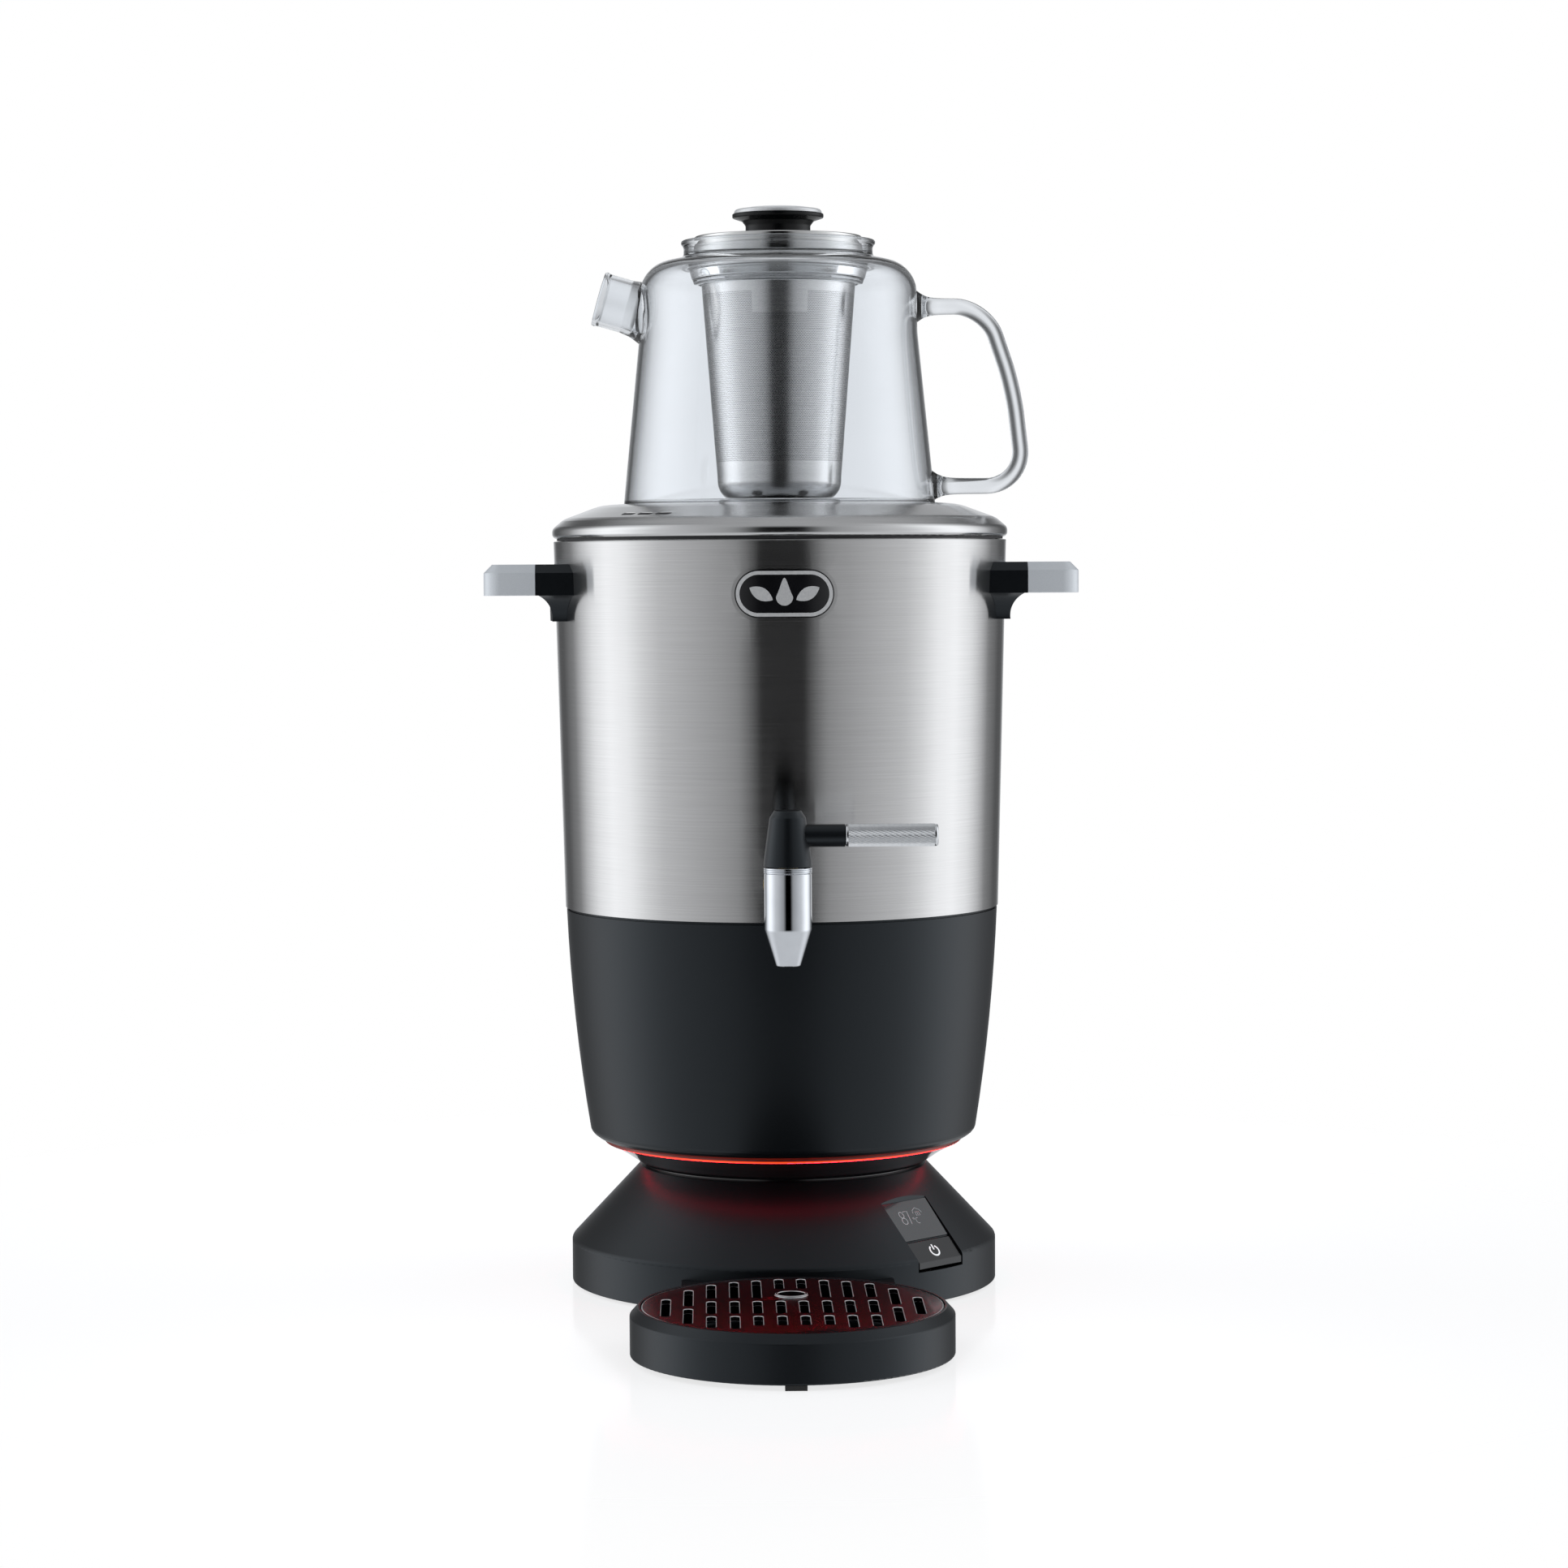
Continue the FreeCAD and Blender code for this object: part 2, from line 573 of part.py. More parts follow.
def wiring():
    """Heater riser from the power board, lead from the terminals, lead to the panel."""
    riser = rod(3, (0, 12, 11.6), (0, 12, VESSEL_FLOOR_Z - STEEL - 14))
    mains = rod(3, (0, 50.0, 10.8), (0, 66, 10.8))
    start = Vector(20, 12, 10.8)
    corner = Vector(34, 12, 10.8)
    end = Vector(34, -18, 10.8)
    panel = joined([rod(2, start, corner), Part.makeSphere(2, corner), rod(2, corner, end),
                    Part.makeSphere(2, end), rod(2, end, Vector(52, -47, 24))])
    return Part.makeCompound([riser, mains, panel])


# ---- tank ---------------------------------------------------------------------------------
def handle_screw_place(shape, side, y):
    """Turn a screw that points along +X onto the tank's radius at one side handle."""
    angle = degrees(asin(y / shell_radius(HANDLE_BOTTOM_Z)))
    shape = shape.copy()
    shape.rotate(Vector(0, 0, 0), Z_AXIS, angle if side > 0 else 180 - angle)
    return shape


def badge_prism(width, height):
    """A stadium in the XZ plane, pushed through the front wall of the tank."""
    r = height / 2 - 0.001
    x = width / 2
    low, high = BADGE_Z - height / 2, BADGE_Z + height / 2
    return sideways([(-x, low, r), (x, low, r), (x, high, r), (-x, high, r)], -115, -95)


def steel_shell():
    shape = tank_cone(0).cut(tank_cone(STEEL, SHELL_BOTTOM_Z, SHELL_TOP_Z))
    pad = tank_cone(-0.35, 300, 350).cut(tank_cone(0, 300, 350))
    shape = joined([shape, pad.common(badge_prism(BADGE_W + 3, BADGE_H + 3))])
    holes = [rod(6, (0, -90, SHANK_Z), (0, -115, SHANK_Z))]
    for side in (1, -1):
        for y in (-22, 22):
            hole = rod(2, (95, 0, HANDLE_BOTTOM_Z + 3), (112, 0, HANDLE_BOTTOM_Z + 3))
            holes.append(handle_screw_place(hole, side, y))
    return shape.cut(holes)


def vessel_pan():
    """The whole inner pot, before its floor disc is parted from its wall."""
    outset = STEEL + AIR_GAP
    inset = outset + STEEL
    low_z = VESSEL_FLOOR_Z - STEEL
    rim_in = shell_radius(VESSEL_RIM_Z) - inset
    shape = turned([
        (0, low_z), (shell_radius(low_z) - outset, low_z, 6.8),
        (shell_radius(SHELL_TOP_Z) - outset, SHELL_TOP_Z), (SHELL_TOP_R, SHELL_TOP_Z),
        (SHELL_TOP_R, VESSEL_RIM_Z, 0.5), (rim_in, VESSEL_RIM_Z, 0.5),
        (shell_radius(VESSEL_FLOOR_Z) - inset, VESSEL_FLOOR_Z, 6), (0, VESSEL_FLOOR_Z)])
    return shape.cut(rod(6, (0, -90, SHANK_Z), (0, -115, SHANK_Z)))


def weld_core():
    return Part.makeCylinder(VESSEL_WELD_R, 20, Vector(0, 0, VESSEL_FLOOR_Z - 10))


def water_vessel():
    """Drawn wall with a flanged rim that sits on the shell's upper edge."""
    return vessel_pan().cut(weld_core())


def vessel_floor():
    return vessel_pan().common(weld_core())


def badge_plate():
    skin = tank_cone(-1.1, 300, 350).cut(tank_cone(-0.35, 300, 350))
    return skin.common(badge_prism(BADGE_W, BADGE_H))


def badge_ring():
    skin = tank_cone(-1.4, 300, 350).cut(tank_cone(-1.1, 300, 350))
    outer = badge_prism(BADGE_W - 1.2, BADGE_H - 1.2)
    inner = badge_prism(BADGE_W - 1.2 - 2 * BADGE_RING, BADGE_H - 1.2 - 2 * BADGE_RING)
    return skin.common(outer.cut(inner))


# ---- side handles -------------------------------------------------------------------------
def handle_loop():
    """The whole D-shaped loop of the right handle, before it is split in two materials."""
    half = HANDLE_HALF_Y
    shape = plate([(90, -half), (HANDLE_END_X, -half, 8), (HANDLE_END_X, half, 8), (90, half)],
                  HANDLE_BOTTOM_Z, HANDLE_TOP_Z)
    top_edges = [e for e in shape.Edges if e.BoundBox.ZMin > HANDLE_TOP_Z - 0.01
                 and e.BoundBox.XMax > 91]
    shape = shape.makeChamfer(4, top_edges)
    gap = plate([(80, -half + HANDLE_BAR), (HANDLE_END_X - HANDLE_BAR, -half + HANDLE_BAR, 5),
                 (HANDLE_END_X - HANDLE_BAR, half - HANDLE_BAR, 5), (80, half - HANDLE_BAR)],
                HANDLE_BOTTOM_Z - 1, HANDLE_TOP_Z + 1)
    return shape.cut(gap)


def grip_bolt_holes():
    return [rod(2, (90, y, 338), (125, y, 338)) for y in (-40, 40)]


def handle_grip(side):
    shape = handle_loop().common(block(HANDLE_JOINT_X, 150, -60, 60, 300, 360))
    shape = shape.cut(grip_bolt_holes())
    return shape if side > 0 else shape.mirror(Vector(0, 0, 0), X_AXIS)


def beside_tail():
    """What is cut away beside a tail, so that it narrows in a curve down to its foot."""
    curve = Part.Arc(Vector(80, HANDLE_HALF_Y, HANDLE_BOTTOM_Z), Vector(80, 39.8, 327),
                     Vector(80, HANDLE_FOOT_Y, HANDLE_TAIL_Z))
    rest = Part.makePolygon([
        Vector(80, HANDLE_FOOT_Y, HANDLE_TAIL_Z), Vector(80, HANDLE_FOOT_Y, HANDLE_TAIL_Z - 4),
        Vector(80, 60, HANDLE_TAIL_Z - 4), Vector(80, 60, HANDLE_BOTTOM_Z),
        Vector(80, HANDLE_HALF_Y, HANDLE_BOTTOM_Z)])
    return Part.Face(Part.Wire([curve.toShape()] + rest.Edges)).extrude(Vector(60, 0, 0))


def handle_bracket(side):
    """Black bracket: two legs with curved tails joined by a saddle that follows the tank."""
    half = HANDLE_HALF_Y
    legs = handle_loop().common(block(80, HANDLE_JOINT_X, -60, 60, 300, 360))
    tail_x = 108.0
    curve = Part.Arc(Vector(tail_x, 0, HANDLE_TAIL_Z), Vector(109.9, 0, 327.6),
                     Vector(HANDLE_JOINT_X - 1.5, 0, HANDLE_BOTTOM_Z))
    rest = Part.makePolygon([
        Vector(HANDLE_JOINT_X - 1.5, 0, HANDLE_BOTTOM_Z),
        Vector(HANDLE_JOINT_X - 1.5, 0, HANDLE_BOTTOM_Z + 4),
        Vector(90, 0, HANDLE_BOTTOM_Z + 4), Vector(90, 0, HANDLE_TAIL_Z),
        Vector(tail_x, 0, HANDLE_TAIL_Z)])
    tail = Part.Face(Part.Wire([curve.toShape()] + rest.Edges))
    pieces = [legs]
    for y in (-half, half - HANDLE_BAR):
        leg_tail = tail.copy()
        leg_tail.translate(Vector(0, y, 0))
        pieces.append(leg_tail.extrude(Vector(0, HANDLE_BAR, 0)))
    web_z = HANDLE_TOP_Z - 4
    saddle = tank_cone(-SADDLE_WALL, HANDLE_TAIL_Z, web_z)
    pieces.append(saddle.common(block(80, 115, -half + 2, half - 2, HANDLE_TAIL_Z, web_z)))
    shape = joined(pieces).cut(tank_cone(0, 300, SHELL_TOP_Z))
    cuts = grip_bolt_holes() + [rod(4, (85, y, 338), (106, y, 338)) for y in (-40, 40)]
    shape = shape.cut(cuts + [beside_tail(), beside_tail().mirror(Vector(0, 0, 0), Y_AXIS)])
    screw_z = HANDLE_BOTTOM_Z + 3
    pilot = rod(1.8, (95, 0, screw_z), (SADDLE_SCREW_R, 0, screw_z))
    shape = shape.cut([handle_screw_place(pilot, 1, y) for y in (-22, 22)])
    return shape if side > 0 else shape.mirror(Vector(0, 0, 0), X_AXIS)


def handle_screws():
    """Flat-headed screws that hold each saddle to the shell, and the bolts of each grip."""
    z = HANDLE_BOTTOM_Z + 3
    head_in = shell_radius(z) - STEEL - 1.7
    screw = rod(3.2, (head_in, 0, z), (head_in + 1.5, 0, z)).fuse(
        rod(1.8, (head_in, 0, z), (SADDLE_SCREW_R, 0, z)))
    screws = [handle_screw_place(screw, side, y) for side in (1, -1) for y in (-22, 22)]
    for y in (-40, 40):
        screw = rod(3.8, (102.8, y, 338), (106, y, 338)).fuse(rod(2, (106, y, 338), (125, y, 338)))
        screws += [screw, screw.mirror(Vector(0, 0, 0), X_AXIS)]
    return Part.makeCompound(screws)


# ---- tap ----------------------------------------------------------------------------------
def tap_shank():
    gasket_y = -shell_radius(SHANK_Z) - 1.6
    tube = rod(6, (0, -93.5, SHANK_Z), (0, -139, SHANK_Z))
    flange = rod(10.5, (0, gasket_y, SHANK_Z), (0, gasket_y - 3, SHANK_Z))
    return joined([tube, flange]).cut(rod(4, (0, -90, SHANK_Z), (0, -145, SHANK_Z)))


def tap_gaskets():
    """Outer washer, spacer between the two walls and inner washer."""
    z_low, z_high = SHELL_BOTTOM_Z + 1, 230
    hole = rod(6, (0, -80, SHANK_Z), (0, -120, SHANK_Z))
    gasket_y = -shell_radius(SHANK_Z) - 1.6
    outer = rod(9.8, (0, -95, SHANK_Z), (0, gasket_y, SHANK_Z)).cut(tank_cone(0, z_low, z_high))
    walls = tank_cone(STEEL, z_low, z_high).cut(tank_cone(STEEL + AIR_GAP, z_low, z_high))
    spacer = rod(9.8, (0, -90, SHANK_Z), (0, -112, SHANK_Z)).common(walls)
    inside = tank_cone(2 * STEEL + AIR_GAP, z_low, z_high)
    inner = rod(6.9, (0, -99, SHANK_Z), (0, -103, SHANK_Z)).common(inside)
    return Part.makeCompound([outer.cut(hole), spacer.cut(hole), inner.cut(hole)])


def tap_nut():
    corners = [Vector(8.8 / cos(pi / 6) * cos(pi / 3 * k), 0, 8.8 / cos(pi / 6) * sin(pi / 3 * k))
               for k in range(7)]
    hexagon = Part.Face(Part.makePolygon(corners))
    nut = hexagon.extrude(Vector(0, 4.5, 0)).translated(Vector(0, -99, SHANK_Z))
    return nut.cut(rod(6, (0, -90, SHANK_Z), (0, -105, SHANK_Z)))


def tap_body():
    """Chromed casting: boss for the shank, valve chamber and conical outlet."""
    barrel = turned([
        (0, TAP_OUTLET_Z), (5.6, TAP_OUTLET_Z, 0.4), (TAP_BODY_R, 183.2, 4),
        (TAP_BODY_R, TAP_BODY_TOP, 0.4), (0, TAP_BODY_TOP)]).translated(Vector(0, TAP_Y, 0))
    boss = rod(7.6, (0, TAP_Y, SHANK_Z), (0, -120, SHANK_Z))
    hub = rod(8.2, (0, -124, SHANK_Z), (0, -118, SHANK_Z))
    shape = joined([barrel, boss, hub])
    socket = rod(6, (0, -139, SHANK_Z), (0, -110, SHANK_Z))
    passage = rod(3.6, (0, TAP_Y, SHANK_Z), (0, -138, SHANK_Z))
    chamber = Part.makeCylinder(VALVE_R, 30, Vector(0, TAP_Y, 192.5))
    outlet = Part.makeCylinder(3.8, 40, Vector(0, TAP_Y, 160))
    return shape.cut([socket, passage, chamber, outlet])


def tap_ring():
    """Retaining ring above the barrel with two turned grooves."""
    top = TAP_RING_TOP
    low = TAP_BODY_TOP
    third = (top - low) / 3
    return turned([
        (5.1, low), (10.85, low, 0.3), (10.85, low + third - 0.15), (10.6, low + third),
        (10.85, low + third + 0.15), (10.85, low + 2 * third - 0.15), (10.6, low + 2 * third),
        (10.85, low + 2 * third + 0.15), (10.85, top, 0.3), (5.1, top)]).translated(Vector(0, TAP_Y, 0))


def valve_plug():
    """Rotary plug: its side port turns to face the shank when the lever comes to the front."""
    plug = turned([(0, 193), (VALVE_R - 0.06, 193), (VALVE_R - 0.06, 208), (5, 208), (5, 217),
                   (0, 217)]).translated(Vector(0, TAP_Y, 0))
    side_port = rod(3.4, (-10, TAP_Y, SHANK_Z), (0, TAP_Y, SHANK_Z))
    down_port = Part.makeCylinder(3.4, SHANK_Z - 190, Vector(0, TAP_Y, 190))
    return plug.cut([side_port, down_port])


def tap_cap_outline():
    low = TAP_RING_TOP + GAP
    return turned([(0, low), (10.9, low, 0.4), (10.7, low + 3, 2), (8.1, 233, 1.5),
                   (6, TAP_CAP_TOP, 0.8), (0, TAP_CAP_TOP)]).translated(Vector(0, TAP_Y, 0))


def tap_cap():
    stem_hole = Part.makeCylinder(5, 217 - TAP_RING_TOP, Vector(0, TAP_Y, TAP_RING_TOP))
    spigot_hole = rod(3, (3, TAP_Y, LEVER_Z), (20, TAP_Y, LEVER_Z))
    return tap_cap_outline().cut([stem_hole, spigot_hole])


def lever_stub():
    bar = rod(LEVER_R, (2, TAP_Y, LEVER_Z), (LEVER_STUB_X, TAP_Y, LEVER_Z)).cut(tap_cap_outline())
    bar = [s for s in bar.Solids if s.BoundBox.XMax > 20][0]
    spigot = rod(3, (3, TAP_Y, LEVER_Z), (12, TAP_Y, LEVER_Z))
    return joined([bar, spigot])


def lever_grip():
    length = LEVER_END_X - LEVER_STUB_X
    shape = turned([(0, 0), (LEVER_R, 0, 0.25), (LEVER_R, length, 1.6), (0, length)])
    shape.rotate(Vector(0, 0, 0), Y_AXIS, 90)
    return shape.translated(Vector(LEVER_STUB_X, TAP_Y, LEVER_Z))


# ---- tank lid -----------------------------------------------------------------------------
def tank_lid():
    """Domed steel lid with a teapot seat, steam holes, vent slots and a locating skirt."""
    wall = 1.0
    seat = LID_SEAT_Z
    shape = turned([
        (0, seat), (LID_SEAT_R, seat, 1.2), (LID_SEAT_R + 0.9, 374.3, 1.2), (86, 373.7, 25),
        (103.5, 367.2, 8), (LID_R, 362.6, 3.2), (LID_R, LID_EDGE_Z, 2.2), (103.0, LID_EDGE_Z),
        (102.8, 350), (102.0, 350), (102.0, LID_EDGE_Z + wall, 0.8),
        (107.2, LID_EDGE_Z + wall, 0.7), (LID_R - 1.2, 362.4, 1.6), (102.9, 366.3, 4),
        (85.7, 372.7, 24), (LID_SEAT_R + 1.8, 373.2, 0.5), (LID_SEAT_R + 0.9, seat - wall, 0.8),
        (0, seat - wall)])
    holes = [Part.makeCylinder(4, 10, on_circle(52, 30 * k, seat - 5)) for k in range(12)]
    holes += [Part.makeCylinder(4, 10, on_circle(30, 60 * k, seat - 5)) for k in range(6)]
    holes.append(Part.makeCylinder(12, 10, Vector(0, 0, seat - 5)))
    vents = []
    for azimuth in VENT_AZIMUTHS:
        vent = slot_prism(8.5, 3.0, 355, 380).translated(Vector(0, -VENT_R, 0))
        vent.rotate(Vector(0, 0, 0), Z_AXIS, azimuth)
        vents.append(vent)
    return shape.cut(holes + vents)


def lid_seal():
    return ring(106.8, 103.2, VESSEL_RIM_Z + GAP, LID_EDGE_Z)


# ---- teapot -------------------------------------------------------------------------------
def pot_outside():
    return turned([
        (0, POT_BOTTOM), (POT_FOOT_R, POT_BOTTOM, 6), (66.4, 456, 40), (POT_SHOULDER_R, 487.2, 15),
        (POT_NECK_R, 491.6, 2.5), (POT_NECK_R, 496.2, 1.5), (46.4, 498, 0.6),
        (46.4, POT_RIM_Z, 0.8), (0, POT_RIM_Z)])


def pot_inside():
    """Space inside the glass: body, and the neck with its ledge for the infuser."""
    wall = POT_WALL
    return turned([
        (0, POT_BOTTOM + 2.6), (POT_FOOT_R - wall, POT_BOTTOM + 2.6, 4.5),
        (66.4 - wall, 455.5, 38), (POT_SHOULDER_R - wall, 484.9, 12.5), (43.4, 489.4, 1.5),
        (40.2, 478.9, 0.8), (38.2, 478.6, 0.4), (38.0, 480.3, 0.3), (41.5, 482.45, 1),
        (42.8, 487.5, 2), (43.0, 496.5, 2), (43.8, 501), (0, 501)])


def spout_cylinder(radius, back, length):
    """A cylinder on the spout's axis that starts a distance back from the mouth."""
    tilt = radians(SPOUT_TILT)
    axis = Vector(-cos(tilt), 0, sin(tilt))
    return Part.makeCylinder(radius, length, SPOUT_MOUTH - axis * back, axis)


def pot_floor_core():
    return Part.makeCylinder(POT_FLOOR_R, 20, Vector(0, 0, POT_BOTTOM - 10))


def teapot_body():
    bore = spout_cylinder(SPOUT_R - POT_WALL, 50, 60)
    return pot_outside().cut([pot_inside(), bore, pot_floor_core()])


def teapot_floor():
    """The flat of the pot's floor, inside its rounded foot."""
    return pot_outside().cut(pot_inside()).common(pot_floor_core())


def teapot_spout():
    """Glass tube with a slightly flared lip, fused to the wall."""
    tube = joined([spout_cylinder(SPOUT_R, 40, 40), spout_cylinder(SPOUT_R + 0.5, 2.5, 2.5)])
    return tube.cut([spout_cylinder(SPOUT_R - POT_WALL, 50, 60), pot_outside()])


def teapot_handle():
    """Bent glass rod with swollen roots, fused to the wall."""
    bend = swept_rod(ROD_R, [(60, 468), (99.0, 468, 21), (112.2, 429, 120), (117.6, 382.3, 16.5),
                             (66, 382.3)])
    roots = [Part.makeCone(7, ROD_R, 12, Vector(62, 0, 468), X_AXIS),
             Part.makeCone(7, ROD_R, 12, Vector(70, 0, 382.3), X_AXIS)]
    return joined([bend] + roots).cut(pot_outside())


# ---- infuser, teapot lid and knob ---------------------------------------------------------
def infuser_basket():
    wall = BASKET_WALL
    low = BASKET_BOTTOM_Z
    return turned([
        (0, low), (29.2, low, 9.5), (BASKET_SEAM_R, 387), (BASKET_TOP_R, BASKET_TOP_Z),
        (BASKET_TOP_R - wall, BASKET_TOP_Z), (BASKET_SEAM_R - wall, 387),
        (29.2 - wall, low + wall, 9), (0, low + wall)])


def infuser_collar():
    return turned([
        (BASKET_TOP_R - BASKET_WALL, BASKET_TOP_Z), (BASKET_TOP_R, BASKET_TOP_Z),
        (COLLAR_R, 482.3, 1.2), (COLLAR_R, 486.3), (COLLAR_R - 0.35, 486.6), (COLLAR_R, 486.9),
        (COLLAR_R, COLLAR_TOP_Z, 0.4), (39.7, COLLAR_TOP_Z), (39.7, 483.2, 0.8),
        (BASKET_TOP_R - BASKET_WALL, 480.9)])


def teapot_lid():
    """Steel lid: outer skirt in line with the collar and a stepped skirt inside it."""
    r = POT_LID_R
    return turned([
        (2.1, POT_LID_TOP), (r, POT_LID_TOP, 0.7), (r + 0.4, COLLAR_TOP_Z + GAP, 0.2),
        (39.35, COLLAR_TOP_Z + GAP), (39.2, 484.2), (38.6, 484.2), (38.75, COLLAR_TOP_Z + 1.1),
        (r - 0.5, COLLAR_TOP_Z + 1.4, 0.3), (r - 0.7, POT_LID_TOP - 0.7, 0.4), (2.1, POT_LID_TOP - 0.7)])


def knob_stem():
    return turned([
        (0, POT_LID_TOP), (15.5, POT_LID_TOP), (15.5, 506.6, 1.5), (17.2, 508.9, 2),
        (21.8, 510.4, 0.8), (21.8, 512.3, 0.4), (19, 512.3), (19, 511.2), (0, 511.2)]).cut(
            Part.makeCylinder(2.0, 6, Vector(0, 0, POT_LID_TOP)))


def knob_cap():
    return turned([
        (0, 511.2), (19, 511.2), (19, 512.3), (20.9, 512.3), (20.9, 514.2, 1.4), (13.6, 515.35, 20),
        (0, KNOB_TOP_Z)])


def knob_screw():
    return pan_screw(4.5, 1.6, 2.0, 6.5).translated(Vector(0, 0, POT_LID_TOP - 0.7 - 1.6))


# ---- drip tray ----------------------------------------------------------------------------
def drip_tray():
    """Round basin with a ledge for the grille and a rear tongue shaped to the base."""
    basin = turned([
        (0, TRAY_BOTTOM), (TRAY_R, TRAY_BOTTOM, 0.8), (TRAY_R, 19.6, 0.8), (67.4, TRAY_TOP, 0.6),
        (66.4, TRAY_TOP), (66.4, GRILLE_BOTTOM - GAP), (63.0, GRILLE_BOTTOM - GAP),
        (62.4, TRAY_BOTTOM + PLASTIC, 3), (0, TRAY_BOTTOM + PLASTIC)]).translated(Vector(0, TRAY_Y, 0))
    room = Part.makeCylinder(62.0, 60, Vector(0, TRAY_Y, TRAY_BOTTOM + 0.5))
    tongue = block(-TONGUE_HALF_W, TONGUE_HALF_W, -150, -80, TRAY_BOTTOM, TONGUE_TOP)
    base = Part.makeCylinder(BASE_R + 0.5, 60, Vector(0, 0, -5))
    tab = block(-TAB_HALF_W, TAB_HALF_W, -106, -BASE_R + 12, 4.2, 12.0)
    return joined([basin, tongue.cut([base, room]), tab])


def tray_feet():
    foot = block(-4.7, 4.7, -70.5, -66.5, 0, TRAY_BOTTOM)
    feet = around(foot, (0, 125, 235))
    return Part.makeCompound([f.translated(Vector(0, TRAY_Y, 0)) for f in feet])


def grille_slots():
    """Slots as (x, rear end, front end), in mm from the tank axis; each exists at +x and -x."""
    rear, front = -178.5, -242.0
    columns = [(5.0, -132.5, -156.5), (15.2, -135.5, rear), (25.2, -139.0, rear), (35.4, -145.0, rear)]
    columns += [(x, -185.5, -214.5) for x in (5.0, 15.2, 25.2, 35.4)]
    columns += [(5.0, -220.2, front), (15.2, -220.2, front), (25.2, -220.2, -248.5), (35.4, -220.2, -246)]
    columns += [(45.4, -158.0, -196.5), (45.4, -202.5, -236.5), (55.2, -179.5, -219.5)]
    return columns


def drip_grille():
    shape = turned([(0, GRILLE_BOTTOM), (GRILLE_R, GRILLE_BOTTOM), (GRILLE_R, GRILLE_TOP, 0.6),
                    (0, GRILLE_TOP)]).translated(Vector(0, TRAY_Y, 0))
    cuts = []
    for x, rear, front in grille_slots():
        slot = slot_prism(rear - front, SLOT_W, GRILLE_BOTTOM - 1, GRILLE_TOP + 1)
        slot.rotate(Vector(0, 0, 0), Z_AXIS, 90)
        for side in (-1, 1):
            cuts.append(slot.translated(Vector(side * x, (rear + front) / 2, 0)))
    collar = ring(7.2, 6.0, GRILLE_TOP - 1, GRILLE_TOP + 0.8).translated(Vector(0, -171.9, 0))
    hole = Part.makeCylinder(6.0, 6, Vector(0, -171.9, GRILLE_BOTTOM - 1))
    return joined([shape.cut(cuts), collar]).cut(hole)


# ---- write every sub-part -----------------------------------------------------------------
SUBPARTS = {
    "base_cover": base_cover, "base_plate": base_plate, "base_feet": base_feet,
    "base_screws": base_screws, "cord_gland": cord_gland, "terminal_block": terminal_block,
    "power_board": power_board, "wiring": wiring, "panel_frame": panel_frame,
    "display_window": display_window, "control_board": control_board,
    "button_switch": button_switch,
    "switch_plunger": switch_plunger, "power_button": power_button, "neck_bowl": neck_bowl,
    "light_ring": light_ring, "led_board": led_board,
    "lower_housing": lower_housing, "support_columns": support_columns,
    "tie_bolts": tie_bolts, "heat_shield": heat_shield, "heater_plate": heater_plate,
    "heater_element": heater_element, "boil_dry_thermostat": boil_dry_thermostat,
    "thermal_fuse": thermal_fuse, "temperature_probe": temperature_probe,
    "steel_shell": steel_shell, "water_vessel": water_vessel, "vessel_floor": vessel_floor,
    "badge_plate": badge_plate, "badge_ring": badge_ring, "handle_screws": handle_screws,
    "tap_shank": tap_shank, "tap_gaskets": tap_gaskets, "tap_nut": tap_nut,
    "tap_body": tap_body, "tap_ring": tap_ring, "valve_plug": valve_plug, "tap_cap": tap_cap,
    "lever_stub": lever_stub, "lever_grip": lever_grip, "tank_lid": tank_lid,
    "lid_seal": lid_seal, "teapot_body": teapot_body, "teapot_floor": teapot_floor,
    "teapot_spout": teapot_spout, "teapot_handle": teapot_handle,
    "infuser_basket": infuser_basket, "infuser_collar": infuser_collar,
    "teapot_lid": teapot_lid, "knob_stem": knob_stem, "knob_cap": knob_cap,
    "knob_screw": knob_screw, "drip_tray": drip_tray, "tray_feet": tray_feet,
    "drip_grille": drip_grille,
}

for name, make in SUBPARTS.items():
    save(name, make())
for name, side in (("right", 1), ("left", -1)):
    save(name + "_handle_bracket", handle_bracket(side))
    save(name + "_handle_grip", handle_grip(side))
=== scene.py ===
import bmesh
import bpy
from math import cos, exp, pi, radians, sin, sqrt, tan
from mathutils import Matrix, Vector


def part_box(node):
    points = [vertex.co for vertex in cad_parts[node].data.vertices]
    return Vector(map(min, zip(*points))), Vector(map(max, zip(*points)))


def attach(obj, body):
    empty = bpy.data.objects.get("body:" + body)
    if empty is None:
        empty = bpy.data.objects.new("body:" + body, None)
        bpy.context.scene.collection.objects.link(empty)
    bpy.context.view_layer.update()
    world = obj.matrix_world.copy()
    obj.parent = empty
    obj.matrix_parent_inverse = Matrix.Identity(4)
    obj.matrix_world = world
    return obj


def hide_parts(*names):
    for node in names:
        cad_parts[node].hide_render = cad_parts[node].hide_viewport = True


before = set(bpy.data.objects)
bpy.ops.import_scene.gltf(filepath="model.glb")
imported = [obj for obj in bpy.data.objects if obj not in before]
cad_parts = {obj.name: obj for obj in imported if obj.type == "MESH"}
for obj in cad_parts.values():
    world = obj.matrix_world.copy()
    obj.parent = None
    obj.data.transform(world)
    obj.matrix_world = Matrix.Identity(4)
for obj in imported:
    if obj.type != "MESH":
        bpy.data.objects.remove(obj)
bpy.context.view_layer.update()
MM = 0.001


